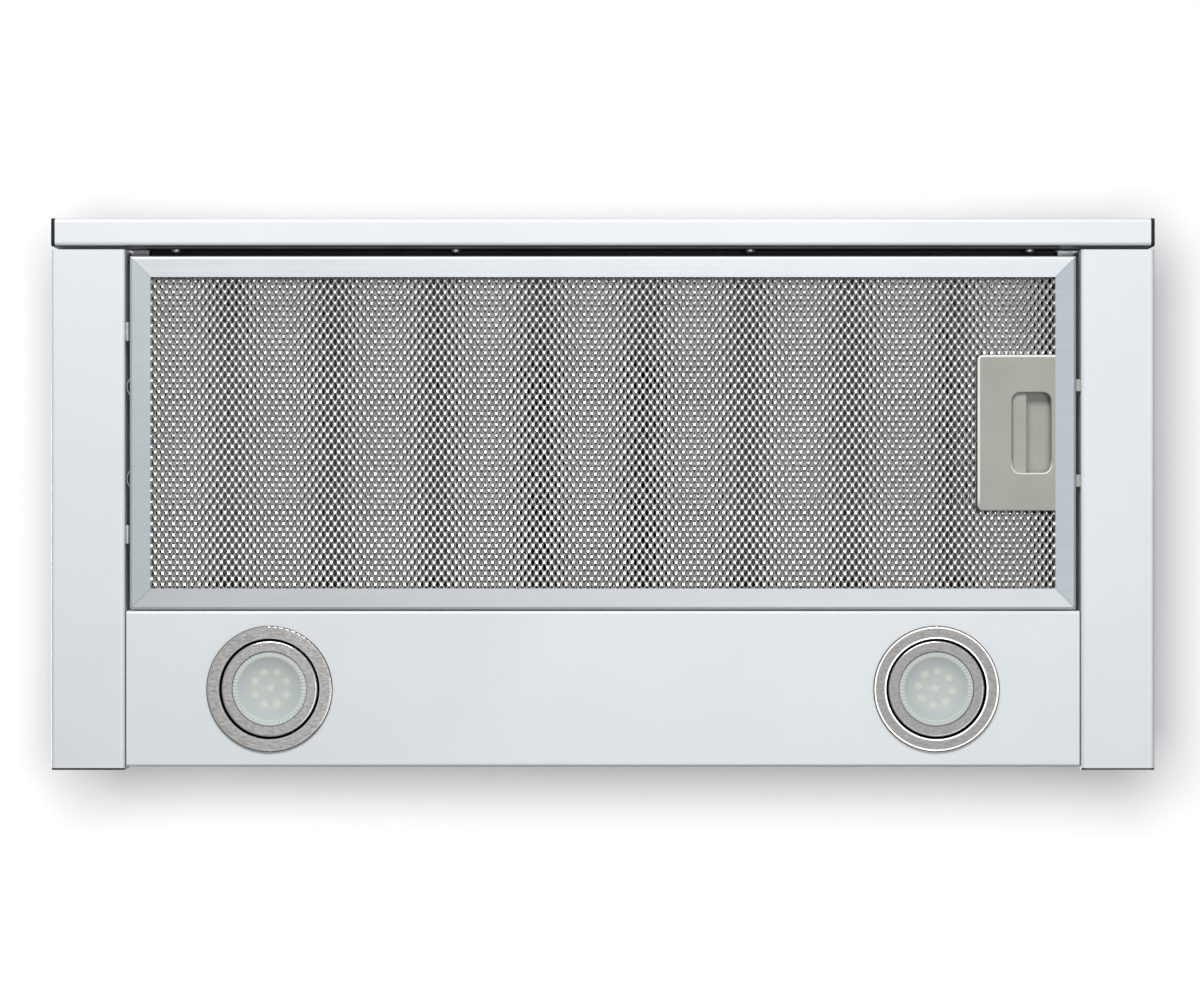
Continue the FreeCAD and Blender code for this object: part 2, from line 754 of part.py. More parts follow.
def make_scroll_half(side):
    """Left (-1) or right (1) half of the scroll housing."""
    half = scroll_width / 2
    roof = box_height - box_sheet
    shell = scroll_solid(scroll_wall, half).cut(scroll_solid(0, half - scroll_wall))
    mouth = duct_radius - duct_wall
    opening = block(-half + scroll_wall, half - scroll_wall, duct_y - mouth, duct_y + mouth,
                    roof - 1, roof + 1)
    reach = duct_radius + collar_flange_width
    rim = slab(-reach, reach, duct_y - reach, duct_y + reach, roof - scroll_wall, roof,
               collar_flange_corner)
    rim_hole = block(-half + scroll_wall, half - scroll_wall, duct_y - mouth, duct_y + mouth,
                     roof - scroll_wall - 1, roof + 1)
    shell = shell.cut(opening).fuse(rim.cut(rim_hole))
    inlet = rod(inlet_radius, (-half - 1, scroll_y, scroll_z), (1, 0, 0), scroll_width + 2)
    screws = [rod(collar_screw_radius, (x, y, roof - 4), (0, 0, 1), 6) for x, y in collar_screw_places()]
    shell = cut_all(shell, [inlet] + screws)
    x0 = 0 if side > 0 else -2 * reach
    return shell.common(block(x0, x0 + 2 * reach, -2 * reach, 2 * reach, -1, box_height))


def make_impeller():
    """Double-inlet impeller: curved blades across a middle disc and two end rings, on a hub."""
    centre = Vector(0, scroll_y, scroll_z)
    inner = impeller_radius - blade_depth
    pieces = []
    for x in (-impeller_half_width, impeller_half_width - impeller_ring):
        pieces.append(tube(impeller_radius, inner + blade_depth / 2, (x, scroll_y, scroll_z), (1, 0, 0),
                           impeller_ring))
    pieces.append(rod(impeller_radius, (-hub_disc / 2, scroll_y, scroll_z), (1, 0, 0), hub_disc))
    pieces.append(rod(hub_radius, (-hub_disc / 2, scroll_y, scroll_z), (1, 0, 0), hub_length))
    lean = 12.0
    blade_edges = []
    for offset in (0.0, blade_thickness):
        points = []
        for radius, angle in ((inner, 0.0), ((inner + impeller_radius) / 2, lean / 4),
                              (impeller_radius - 0.2, lean)):
            turn = math.radians(angle) + offset / radius
            points.append(Vector(-impeller_half_width, radius * math.cos(turn), radius * math.sin(turn)))
        blade_edges.append(points)
    lower, upper = blade_edges
    wire = Part.Wire(Part.__sortEdges__([
        Part.Arc(*lower).toShape(),
        Part.LineSegment(lower[2], upper[2]).toShape(),
        Part.Arc(*upper).toShape(),
        Part.LineSegment(upper[0], lower[0]).toShape(),
    ]))
    blade = Part.Face(wire).extrude(Vector(2 * impeller_half_width, 0, 0))
    for index in range(blade_count):
        copy = blade.copy()
        copy.rotate(Vector(0, 0, 0), Vector(1, 0, 0), 360.0 * index / blade_count)
        copy.translate(centre)
        pieces.append(copy)
    body = pieces[0].multiFuse(pieces[1:])
    bore = rod(shaft_radius, (-hub_disc, scroll_y, scroll_z), (1, 0, 0), hub_length + 2 * hub_disc)
    return body.cut(bore)


motor_right = -hub_disc / 2 - motor_gap
motor_left = motor_right - motor_length
bracket_x = -scroll_width / 2 - bracket_sheet


def make_motor_case():
    """Cup-shaped motor case, open towards the bracket, with the right bearing's seat."""
    case = rod(motor_radius, (motor_left, scroll_y, scroll_z), (1, 0, 0), motor_length)
    hollow = rod(motor_radius - motor_wall, (motor_left - 1, scroll_y, scroll_z), (1, 0, 0),
                 motor_length - motor_wall - bearing_width + 1)
    seat = rod(bearing_radius, (motor_left, scroll_y, scroll_z), (1, 0, 0), motor_length - motor_wall)
    through = rod(shaft_radius + 1, (motor_left, scroll_y, scroll_z), (1, 0, 0), motor_length + 1)
    return cut_all(case, [hollow, seat, through])


def make_motor_bracket():
    """Three-armed bracket across the left inlet, with the left bearing's seat and a spacer hub."""
    centre = (bracket_x, scroll_y, scroll_z)
    hub = rod(bracket_hub / 2, centre, (1, 0, 0), bracket_sheet)
    arms = []
    for index in range(3):
        arm = block(bracket_x, bracket_x + bracket_sheet, scroll_y - bracket_arm / 2,
                    scroll_y + bracket_arm / 2, scroll_z, scroll_z + bracket_reach)
        arm.rotate(Vector(0, scroll_y, scroll_z), Vector(1, 0, 0), 60 + 120 * index)
        arms.append(arm)
    spacer = rod(bracket_hub / 2, centre, (1, 0, 0), motor_left - bracket_x)
    seat = rod(bearing_radius, (motor_left - bearing_width, scroll_y, scroll_z), (1, 0, 0), bearing_width)
    return cut_all(fused([hub, spacer] + arms), [seat])


def make_bearings():
    """Both motor bearings."""
    starts = (motor_left - bearing_width, motor_right - motor_wall - bearing_width)
    bore = shaft_radius + shaft_clearance
    return [tube(bearing_radius, bore, (x, scroll_y, scroll_z), (1, 0, 0), bearing_width) for x in starts]


def make_stator():
    """Laminated ring inside the motor case."""
    outer = motor_radius - motor_wall - stator_clearance
    x = (motor_left + motor_right - motor_wall - bearing_width) / 2 - stator_length / 2
    return tube(outer, stator_bore, (x, scroll_y, scroll_z), (1, 0, 0), stator_length)


def make_rotor():
    """Rotor core pressed on the shaft that carries the impeller."""
    start = motor_left - bearing_width + 0.5
    end = hub_length - hub_disc / 2
    shaft = rod(shaft_radius, (start, scroll_y, scroll_z), (1, 0, 0), end - start)
    x = (motor_left + motor_right - motor_wall - bearing_width) / 2 - stator_length / 2
    core = tube(stator_bore - rotor_gap, shaft_radius, (x, scroll_y, scroll_z), (1, 0, 0), stator_length)
    return [shaft, core]


# ---- Slide-out: channels, runners, tray, fascia, buttons ----
def make_channels():
    """Fixed slide channels on the rails' inner walls, open towards the tray."""
    path = [
        (x_wall - channel_depth, z_channel_bottom),
        (x_wall, z_channel_bottom),
        (x_wall, z_channel_top),
        (x_wall - channel_depth, z_channel_top),
    ]
    right = folded(path, channel_sheet, 0.5, "xz", y_rail_front + 1, y_rear - channel_rear_inset)
    return [mirrored(right), right]


runner_front = y_fascia_back + tray_front_sheet
tray_rear = y_panel_front - tray_rear_gap
runner_rear = tray_rear + runner_rear_overhang
runner_low = z_channel_bottom + channel_sheet + runner_clearance
runner_high = z_channel_top - channel_sheet - runner_clearance
runner_outer = x_wall - channel_sheet - runner_wall_clearance


def make_runners():
    """Sliding runners on the tray's sides: folded channels open towards the rails."""
    path = [
        (runner_outer, runner_high),
        (x_tray, runner_high),
        (x_tray, runner_low),
        (runner_outer, runner_low),
    ]
    right = folded(path, runner_sheet, runner_bend, "xz", runner_front, runner_rear)
    return [mirrored(right), right]


def make_glide_pads():
    """Plastic glide pads inside the runners' rear and middle."""
    pads = []
    inner = x_tray + runner_sheet
    outer = x_wall - channel_sheet - pad_clearance
    low = runner_low + runner_sheet + runner_bend
    high = runner_high - runner_sheet - runner_bend
    for y in (tray_rear - pad_length, runner_rear - pad_length):
        pad = block(inner, outer, y, y + pad_length, low, high)
        pads += [mirrored(pad), pad]
    return pads


def fascia_screw_places():
    """Across the hood."""
    return [-screw_offset_outer, -screw_offset_inner, screw_offset_inner, screw_offset_outer]


z_screw = z_under + fascia_screw_height


def screw_holes():
    """Cutters for the fascia screws' shanks."""
    start = y_fascia_back - fascia_sheet - 1
    length = fascia_sheet + tray_front_sheet + 2
    return [rod(fascia_screw_shank, (x, start, z_screw), (0, 1, 0), length) for x in fascia_screw_places()]


def make_tray():
    """Folded frame of the slide-out: front wall, two sides with ledges, and a rear bar."""
    z_top = z_channel_top
    z_low = z_channel_bottom
    front = block(-x_tray, x_tray, y_fascia_back, y_fascia_back + tray_front_sheet,
                  z_top - tray_front_drop, z_top)
    path = [(x_tray - tray_ledge, z_low), (x_tray, z_low), (x_tray, z_top)]
    side = folded(path, tray_sheet, 0.5, "xz", y_fascia_back + tray_front_sheet, tray_rear)
    rear_path = [(tray_rear, z_top), (tray_rear, z_low), (tray_rear - tray_ledge, z_low)]
    rear = folded(list(reversed(rear_path)), tray_sheet, 0.5, "yz", -x_tray + 1, x_tray - 1)
    y0 = y_fascia_back
    ledge = block(-x_tray + 1, x_tray - 1, y0, y0 + tray_ledge, z_low, z_low + tray_sheet)
    body = fused([front, side, mirrored(side), rear, ledge])
    return cut_all(body, screw_holes())


def button_places():
    """The buttons' centres across the fascia, from the left."""
    last = x_side - button_end_inset
    return [last - button_pitch * (button_count - 1 - index) for index in range(button_count)]


z_buttons = z_under + fascia_height - button_height


def make_fascia():
    """Folded front of the slide-out with its rear flange and the buttons' windows."""
    half = x_side - fascia_cap
    path = [
        (y_fascia_back, z_under + fascia_flange),
        (y_fascia_back, z_under),
        (y_front, z_under),
        (y_front, z_under + fascia_height),
        (y_fascia_back, z_under + fascia_height),
    ]
    skin = folded(list(reversed(path)), fascia_sheet, fascia_bend, "yz", -half, half)
    size = button_size / 2 + button_clearance
    windows = [
        block(x - size, x + size, y_front - 1, y_front + fascia_sheet + 1, z_buttons - size, z_buttons + size)
        for x in button_places()
    ]
    return cut_all(skin, windows + screw_holes())


def make_fascia_cap():
    """Right end cap: a plate over the fascia's end and a plug inside it."""
    outer = rectangle(y_front, y_fascia_back, z_under, z_under + fascia_height)
    plate = prism(outer, fascia_cap_corner, "yz", x_side - fascia_cap, x_side)
    gap = fascia_sheet + 0.3
    inner = rectangle(y_front + gap, y_fascia_back - gap, z_under + gap, z_under + fascia_height - gap)
    plug = prism(inner, fascia_cap_corner, "yz", x_side - fascia_cap - fascia_cap_plug, x_side - fascia_cap)
    hollow = rectangle(y_front + 2 * gap, y_fascia_back - 2 * gap,
                       z_under + 2 * gap, z_under + fascia_height - 2 * gap)
    inside = prism(hollow, 1.0, "yz", x_side - fascia_cap - fascia_cap_plug - 1, x_side - fascia_cap)
    return plate.fuse(plug.cut(inside)).removeSplitter()


def make_fascia_screws():
    """Domed screws, driven forwards through the tray's front wall into the fascia's flange."""
    screws = []
    y_head = y_fascia_back + tray_front_sheet
    start = y_fascia_back - fascia_sheet - 2
    for x in fascia_screw_places():
        shank = rod(fascia_screw_shank, (x, start, z_screw), (0, 1, 0), y_head - start)
        head = rod(fascia_screw_head, (x, y_head, z_screw), (0, 1, 0), fascia_screw_dome)
        rim = [e for e in head.Edges if e.BoundBox.YMin > y_head + fascia_screw_dome / 2]
        head = head.makeFillet(fascia_screw_dome * 0.8, rim)
        screws.append(shank.fuse(head))
    return screws


y_block = y_front + block_front_gap


def make_button(x):
    """A push button: its cap flush with the fascia, a rim behind the sheet, and a stem."""
    size = button_size / 2
    y_rim = y_front + fascia_sheet + 0.1
    cap = prism(rectangle(x - size, x + size, z_buttons - size, z_buttons + size), 1.0, "xz",
                y_front, y_rim + button_rim_depth)
    cap = cap.makeFillet(0.4, [e for e in cap.Edges if e.BoundBox.YMax < y_front + 0.01])
    rim = block(x - size - button_rim, x + size + button_rim, y_rim, y_rim + button_rim_depth,
                z_buttons - size - button_rim, z_buttons + size + button_rim)
    y_end = y_rim + button_rim_depth
    stem = rod(stem_radius, (x, y_end, z_buttons), (0, 1, 0), y_block + stem_entry - y_end)
    return fused([cap, rim, stem])


def make_switch_block():
    """The switch body behind the buttons, fixed to the fascia's rear flange."""
    places = button_places()
    y_back = y_fascia_back - fascia_sheet
    height = button_size + 2 * button_rim
    body = slab(places[0] - block_margin, places[-1] + block_margin, y_block, y_back,
                z_buttons - height / 2, z_buttons + height / 2, 1.0)
    depth = stem_entry + button_travel + 0.4
    bores = [
        rod(stem_radius + stem_clearance, (x, y_block - 1, z_buttons), (0, 1, 0), depth + 1)
        for x in places
    ]
    return cut_all(body, bores)


def make_door_switch():
    """Snap switch in the left channel's rear end, with a blind bore for its plunger."""
    y0 = runner_rear + door_switch_gap
    gap = 0.3
    body = block(-x_wall + channel_sheet + gap, -x_tray - 1, y0, y0 + door_switch_length,
                 z_channel_bottom + channel_sheet + gap, z_channel_top - channel_sheet - gap)
    bore = rod(plunger_radius + 0.1, (plunger_x, y0 - 1, plunger_z), (0, 1, 0), 1 + plunger_seat + 0.6)
    return body.cut(bore)


plunger_x = -(x_wall + x_tray) / 2
plunger_z = (z_channel_bottom + z_channel_top) / 2
plunger_seat = 3.0


def make_plunger():
    """The door switch's plunger, whose tip faces the left runner's pad."""
    start = runner_rear + plunger_tip_gap
    end = runner_rear + door_switch_gap + plunger_seat - plunger_travel
    pin = rod(plunger_radius, (plunger_x, start, plunger_z), (0, 1, 0), end - start)
    return pin.makeFillet(0.7, [e for e in pin.Edges if e.BoundBox.YMax < start + 0.01])


# ---- Grease filter ----
def filter_bar_section(edge, plane, start, end):
    """A U-section bar at the given edge, open towards larger values of the drawing's first axis."""
    path = [
        (edge + bar_width, z_filter_top),
        (edge, z_filter_top),
        (edge, z_filter),
        (edge + bar_width, z_filter),
    ]
    return folded(path, bar_sheet, bar_bend, plane, start, end)


def make_front_bar():
    """Front bar, mitred at both ends."""
    bar = filter_bar_section(filter_front, "yz", -filter_side, filter_side)
    half = filter_side - mitre_gap
    inner = half - bar_width
    corners = [(-half, filter_front), (half, filter_front),
               (inner, filter_front + bar_width), (-inner, filter_front + bar_width)]
    return bar.common(prism(corners, 0.0, "xy", z_filter - 1, z_filter_top + 1))


def make_left_bar():
    """Left bar, mitred at both ends."""
    bar = filter_bar_section(-filter_side, "xz", filter_front, filter_rear)
    x0 = -filter_side
    corners = [(x0, filter_front + mitre_gap), (x0 + bar_width, filter_front + bar_width + mitre_gap),
               (x0 + bar_width, filter_rear - bar_width - mitre_gap), (x0, filter_rear - mitre_gap)]
    return bar.common(prism(corners, 0.0, "xy", z_filter - 1, z_filter_top + 1))


def make_right_bar():
    """Right bar, with the holes that the latch bolts pass through."""
    half = bolt_width / 2 + bolt_clearance
    holes = []
    for side in (-1, 1):
        y = filter_mid + side * bolt_offset
        holes.append(block(filter_side - bar_sheet - 1, filter_side + 1, y - half, y + half,
                           z_slider - bolt_clearance, z_slider + slider_thickness + bolt_clearance))
    return cut_all(mirrored(make_left_bar()), holes)


def make_rear_bar():
    """Rear bar, the front bar's mirror image."""
    return make_front_bar().mirror(Vector(0, filter_mid, 0), Vector(0, 1, 0))


def make_filter_mesh():
    """Lowest layer of the expanded-metal pack, cut out around the latch."""
    inset = bar_sheet + mesh_edge_clearance
    z0 = z_filter + bar_sheet + slider_clearance
    mesh = block(-filter_side + inset, filter_side - inset, filter_front + inset, filter_rear - inset,
                 z0, z0 + mesh_thickness)
    half = latch_length / 2 + mesh_edge_clearance
    notch = block(latch_left - mesh_edge_clearance, filter_side, filter_mid - half, filter_mid + half,
                  z0 - 1, z0 + mesh_thickness + 1)
    return mesh.cut(notch)


def make_edge_clips():
    """On the left bar: two hooks that turn in the rail's slots and two bowed spring clips."""
    pieces = []
    x_hook = -x_wall - rail_sheet / 2 - hook_reach
    for side in (-1, 1):
        y = filter_mid + side * hook_offset
        path = [
            (x_hook, z_filter + 1),
            (-filter_side, z_filter + 1),
            (-filter_side, z_filter + 1 + hook_leg_height),
        ]
        pieces.append(folded(path, hook_sheet, 0.3, "xz", y - hook_width / 2, y + hook_width / 2))
    for side in (-1, 1):
        y = filter_mid + side * clip_offset
        half = clip_width / 2
        x0 = -filter_side
        outer = [Vector(x0, y - half, 0), Vector(x0 - clip_stand_off, y, 0), Vector(x0, y + half, 0)]
        inner = [Vector(x0, y - half + 1.0, 0), Vector(x0 - clip_stand_off + clip_sheet, y, 0),
                 Vector(x0, y + half - 1.0, 0)]
        wire = Part.Wire(Part.__sortEdges__([
            Part.Arc(*outer).toShape(),
            Part.LineSegment(outer[2], inner[2]).toShape(),
            Part.Arc(*inner).toShape(),
            Part.LineSegment(inner[0], outer[0]).toShape(),
        ]))
        clip = Part.Face(wire).extrude(Vector(0, 0, hook_leg_height))
        clip.translate(Vector(0, 0, z_filter + 1.5))
        pieces.append(clip)
    return pieces


# ---- Filter latch ----
def make_latch_plate():
    """Latch housing: a face plate with the finger pocket, three walls and a back, open at its right."""
    half = latch_length / 2
    outer = rectangle(latch_left, latch_right, filter_mid - half, filter_mid + half)
    radii = [latch_corner, 0.0, 0.0, latch_corner]
    body = prism(outer, radii, "xy", z_filter, z_filter + latch_height)
    face_edges = [
        e for e in body.Edges
        if e.BoundBox.ZMax < z_filter + 0.01 and e.BoundBox.XMin < latch_right - 1
    ]
    body = body.makeFillet(latch_edge, face_edges)
    inside = block(latch_left + latch_wall, latch_right + 1,
                   filter_mid - half + latch_wall, filter_mid + half - latch_wall,
                   z_filter + latch_plate_sheet, z_filter + latch_height - latch_back_sheet)
    pocket = slab(pocket_left, pocket_right, filter_mid - pocket_length / 2, filter_mid + pocket_length / 2,
                  z_filter - 1, z_filter + latch_plate_sheet + 1, pocket_corner)
    body = cut_all(body, [inside, pocket])
    rim = [
        e for e in body.Edges
        if e.BoundBox.ZMax < z_filter + 0.01
        and e.BoundBox.XMin > pocket_left - 0.1 and e.BoundBox.XMax < pocket_right + 0.1
    ]
    return body.makeFillet(pocket_rim, rim)


def make_latch_slider():
    """Slider: a grip bar behind the face plate and two bolts that reach into the right rail."""
    grip_right = pocket_left + grip_inset + grip_width
    half = slider_length / 2
    z1 = z_slider + slider_thickness
    bar = slab(slider_left, grip_right, filter_mid - half, filter_mid + half, z_slider, z1, 1.5)
    tip = x_wall + bolt_reach
    arms = []
    for side in (-1, 1):
        y = filter_mid + side * bolt_offset
        corners = rectangle(grip_right - 3, tip, y - bolt_width / 2, y + bolt_width / 2)
        arms.append(prism(corners, [0.0, 1.0, 1.0, 0.0], "xy", z_slider, z1))
    return fused([bar] + arms)


def make_latch_springs():
    """Bowed leaf springs between the housing's left wall and the slider."""
    springs = []
    foot = latch_left + latch_wall
    crest = slider_left - spring_gap
    for side in (-1, 1):
        y = filter_mid + side * spring_offset
        half = spring_span / 2
        outer = [Vector(foot, y - half, z_slider), Vector(crest, y, z_slider),
                 Vector(foot, y + half, z_slider)]
        inner = [Vector(foot, y - half + 2 * spring_sheet, z_slider),
                 Vector(crest - spring_sheet, y, z_slider),
                 Vector(foot, y + half - 2 * spring_sheet, z_slider)]
        wire = Part.Wire(Part.__sortEdges__([
            Part.Arc(*outer).toShape(),
            Part.LineSegment(outer[2], inner[2]).toShape(),
            Part.Arc(*inner).toShape(),
            Part.LineSegment(inner[0], outer[0]).toShape(),
        ]))
        springs.append(Part.Face(wire).extrude(Vector(0, 0, spring_height)))
    return springs


# ---- Slide-out filter ----
def make_slide_filter_frame():
    """Frame of the second grease filter, lying on the tray's ledges."""
    gap = 1.0
    x1 = x_tray - tray_sheet - gap
    y0 = y_fascia_back + tray_front_sheet + gap
    y1 = tray_rear - tray_sheet - gap
    z0 = z_channel_bottom + tray_sheet
    frame = block(-x1, x1, y0, y1, z0, z0 + slide_filter_thickness)
    opening = block(-x1 + bar_width, x1 - bar_width, y0 + bar_width, y1 - bar_width, z0 - 1, z_channel_top)
    groove = block(-x1 + bar_sheet, x1 - bar_sheet, y0 + bar_sheet, y1 - bar_sheet,
                   z0 + bar_sheet, z0 + slide_filter_thickness - bar_sheet)
    return frame.cut(opening).cut(groove)


def make_slide_filter_mesh():
    """Mesh of the second grease filter, in its frame's groove."""
    gap = 1.0 + bar_sheet + mesh_edge_clearance
    x1 = x_tray - tray_sheet - gap
    y0 = y_fascia_back + tray_front_sheet + gap
    y1 = tray_rear - tray_sheet - gap
    z0 = z_channel_bottom + tray_sheet + bar_sheet + slider_clearance
    return block(-x1, x1, y0, y1, z0, z0 + mesh_thickness)


# ---- Lamps ----
def lamp_centre(side):
    """A lamp's centre across the hood."""
    return side * lamp_offset


def make_bezel(x):
    """Fixed outer bezel: a flange under the panel and a neck through it."""
    z_face = z_panel - bezel_thickness
    flange = rod(bezel_radius, (x, lamp_y, z_face), (0, 0, 1), bezel_thickness)
    rim = [e for e in flange.Edges if e.BoundBox.ZMax < z_face + 0.01]
    flange = flange.makeFillet(bezel_edge, rim)
    neck = rod(neck_radius, (x, lamp_y, z_face), (0, 0, 1), bezel_thickness + neck_height)
    step = rod(neck_radius - neck_wall, (x, lamp_y, z_panel - 0.4), (0, 0, 1), neck_height + 1)
    bore = rod(bezel_bore, (x, lamp_y, z_face - 1), (0, 0, 1), bezel_thickness + 2)
    return cut_all(flange.fuse(neck), [step, bore])


def make_can(x):
    """Fixed lamp can: a cup inside the bezel's neck, with a collar that steadies the lamp's base."""
    outer = neck_radius - neck_wall - can_clearance
    z0 = z_panel
    cup = rod(outer, (x, lamp_y, z0), (0, 0, 1), can_height)
    hollow = rod(outer - can_wall, (x, lamp_y, z0 - 1), (0, 0, 1), can_height - can_wall + 1)
    bore = lamp_base_radius + lamp_base_clearance
    z_collar = z0 + can_height - can_collar_height
    collar = rod(lamp_base_radius + 3, (x, lamp_y, z_collar), (0, 0, 1), can_collar_height)
    hole = rod(bore, (x, lamp_y, z0), (0, 0, 1), can_height + 1)
    return cup.cut(hollow).fuse(collar).cut(hole).removeSplitter()


z_ring = z_panel - bezel_thickness + 0.4


def make_lamp_ring(x):
    """Turning lamp ring round the lens, with a skirt that reaches up into the can."""
    ring = rod(lamp_ring_radius, (x, lamp_y, z_ring), (0, 0, 1), lamp_ring_thickness)
    rim = [e for e in ring.Edges if e.BoundBox.ZMax < z_ring + 0.01]
    ring = ring.makeFillet(lamp_ring_edge, rim)
    skirt = rod(lamp_ring_radius - 0.5, (x, lamp_y, z_ring + 1), (0, 0, 1),
                lamp_ring_thickness + skirt_height - 1)
    inside = rod(lamp_ring_radius - 0.5 - skirt_wall, (x, lamp_y, z_ring + lamp_ring_thickness), (0, 0, 1),
                 skirt_height + 1)
    bore = rod(lamp_ring_bore, (x, lamp_y, z_ring - 1), (0, 0, 1), lamp_ring_thickness + 2)
    return cut_all(ring.fuse(skirt), [inside, bore])


def make_lens(x):
    """Frosted glass disc in the lamp ring."""
    radius = lamp_ring_bore - lens_clearance
    lens = rod(radius, (x, lamp_y, z_ring + lens_recess), (0, 0, 1), lens_thickness)
    rim = [e for e in lens.Edges if e.BoundBox.ZMax < z_ring + lens_recess + 0.01]
    return lens.makeFillet(0.8, rim)


def make_lamp_module(x, turn):
    """LED board, its LEDs and the lamp's base with a cooling flange."""
    z_board = z_ring + led_board_depth
    skirt = lamp_ring_radius - 0.5 - skirt_wall - 0.2
    board = rod(skirt, (x, lamp_y, z_board), (0, 0, 1), led_board_thickness)
    places = [(x, lamp_y)]
    for index in range(led_count):
        angle = math.radians(turn + 360.0 * index / led_count)
        places.append((x + led_circle * math.cos(angle), lamp_y + led_circle * math.sin(angle)))
    leds = [rod(led_radius, (u, v, z_board - led_height), (0, 0, 1), led_height) for u, v in places]
    z_flange = z_board + led_board_thickness
    z_can_top = z_panel + can_height
    flange = rod(skirt, (x, lamp_y, z_flange), (0, 0, 1), z_ring + lamp_ring_thickness + skirt_height - z_flange)
    base = rod(lamp_base_radius, (x, lamp_y, z_flange), (0, 0, 1), z_can_top - z_flange + 1)
    return [board, flange.fuse(base)] + leds


# ---- Electrical parts ----
def make_driver():
    """LED driver on the deck, rear left inside the box."""
    length, width, height = driver_size
    x0 = -x_box + 2 * box_flange
    y0 = y_box_rear - 2 * box_flange - width
    body = slab(x0, x0 + length, y0, y0 + width, 0, height, 3.0)
    return body.makeFillet(1.5, [e for e in body.Edges if e.BoundBox.ZMin > height - 0.01])


def make_terminal_box():
    """Terminal box on the deck against the box's rear wall, open at the gland's side."""
    length, width, height = terminal_size
    x0 = gland_x - length / 2
    y1 = y_box_rear - box_sheet - box_flange - 1
    body = slab(x0, x0 + length, y1 - width, y1, 0, height, 3.0)
    inside = slab(x0 + terminal_wall, x0 + length - terminal_wall, y1 - width + terminal_wall,
                  y1 - terminal_wall, terminal_wall, height - terminal_wall, 2.0)
    entry = rod(gland_radius + 0.2, (gland_x, y1 - terminal_wall - 1, gland_z), (0, 1, 0), terminal_wall + 2)
    return body.cut(inside).cut(entry)


def make_gland():
    """Cable gland through the box's rear wall into the terminal box, with a nut outside."""
    y_wall = y_box_rear
    start = y_wall - box_sheet - box_flange - 1 - terminal_wall
    barrel = rod(gland_radius - 0.2, (gland_x, start, gland_z), (0, 1, 0), y_wall + 4 - start)
    points = [
        (gland_x + (gland_radius + 2.5) * math.cos(math.radians(60 * k)),
         gland_z + (gland_radius + 2.5) * math.sin(math.radians(60 * k)))
        for k in range(6)
    ]
    nut = prism(points, 0.0, "xz", y_wall, y_wall + 5)
    bore = rod(gland_bore, (gland_x, start - 1, gland_z), (0, 1, 0), y_wall + 7 - start)
    return barrel.fuse(nut).cut(bore).removeSplitter()


def make_capacitor():
    """Run capacitor lying on the deck, in its cradle."""
    x0 = -capacitor_length / 2 - 60
    y = y_box_rear - 2 * box_flange - capacitor_radius
    z = capacitor_radius + 2
    can = rod(capacitor_radius, (x0, y, z), (1, 0, 0), capacitor_length)
    cradle = block(x0 + 10, x0 + capacitor_length - 10, y - capacitor_radius, y + capacitor_radius, 0, z)
    return can.fuse(cradle).removeSplitter()


# ---- Every node ----
nodes = {
    "deck_plate": make_deck,
    "side_rail_left": make_rail_left,
    "side_rail_right": make_rail_right,
    "light_panel": make_light_panel,
    "rivets": make_rivets,
    "box_front": make_box_front,
    "box_rear": make_box_rear,
    "box_top": make_box_top,
    "box_sides": lambda: [mirrored(make_box_side()), make_box_side()],
    "outlet_collar": make_outlet_collar,
    "flap_pin": make_flap_pin,
    "flap_front": lambda: make_flap(-1, front_knuckle),
    "flap_rear": lambda: make_flap(1, rear_knuckle),
    "collar_screws": make_collar_screws,
    "scroll_left": lambda: make_scroll_half(-1),
    "scroll_right": lambda: make_scroll_half(1),
    "impeller": make_impeller,
    "motor_case": make_motor_case,
    "motor_bracket": make_motor_bracket,
    "motor_bearings": make_bearings,
    "motor_stator": make_stator,
    "motor_rotor": make_rotor,
    "slide_channels": make_channels,
    "slide_runners": make_runners,
    "glide_pads": make_glide_pads,
    "slide_tray": make_tray,
    "slide_filter_frame": make_slide_filter_frame,
    "slide_filter_mesh": make_slide_filter_mesh,
    "fascia": make_fascia,
    "fascia_end_caps": lambda: [mirrored(make_fascia_cap()), make_fascia_cap()],
    "fascia_screws": make_fascia_screws,
    "switch_block": make_switch_block,
    "door_switch": make_door_switch,
    "door_switch_plunger": make_plunger,
    "filter_bar_front": make_front_bar,
    "filter_bar_rear": make_rear_bar,
    "filter_bar_left": make_left_bar,
    "filter_bar_right": make_right_bar,
    "filter_mesh": make_filter_mesh,
    "filter_edge_clips": make_edge_clips,
    "latch_plate": make_latch_plate,
    "latch_slider": make_latch_slider,
    "latch_springs": make_latch_springs,
    "lamp_bezels": lambda: [make_bezel(lamp_centre(side)) for side in (-1, 1)],
    "lamp_cans": lambda: [make_can(lamp_centre(side)) for side in (-1, 1)],
    "led_driver": make_driver,
    "terminal_box": make_terminal_box,
    "cable_gland": make_gland,
    "capacitor": make_capacitor,
}
for name, side, turn in (("left", -1, lamp_turn_left), ("right", 1, lamp_turn_right)):
    centre = lamp_centre(side)
    nodes["lamp_ring_" + name] = lambda x=centre: make_lamp_ring(x)
    nodes["lamp_lens_" + name] = lambda x=centre: make_lens(x)
    nodes["lamp_module_" + name] = lambda x=centre, angle=turn: make_lamp_module(x, angle)
button_names = ("off", "low", "medium", "high", "light")
for name, place in zip(button_names, button_places()):
    nodes["button_" + name] = lambda x=place: make_button(x)

for name, make in nodes.items():
    save(name, make())
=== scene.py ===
import json
import math

import bmesh
import bpy
from mathutils import Matrix, Vector


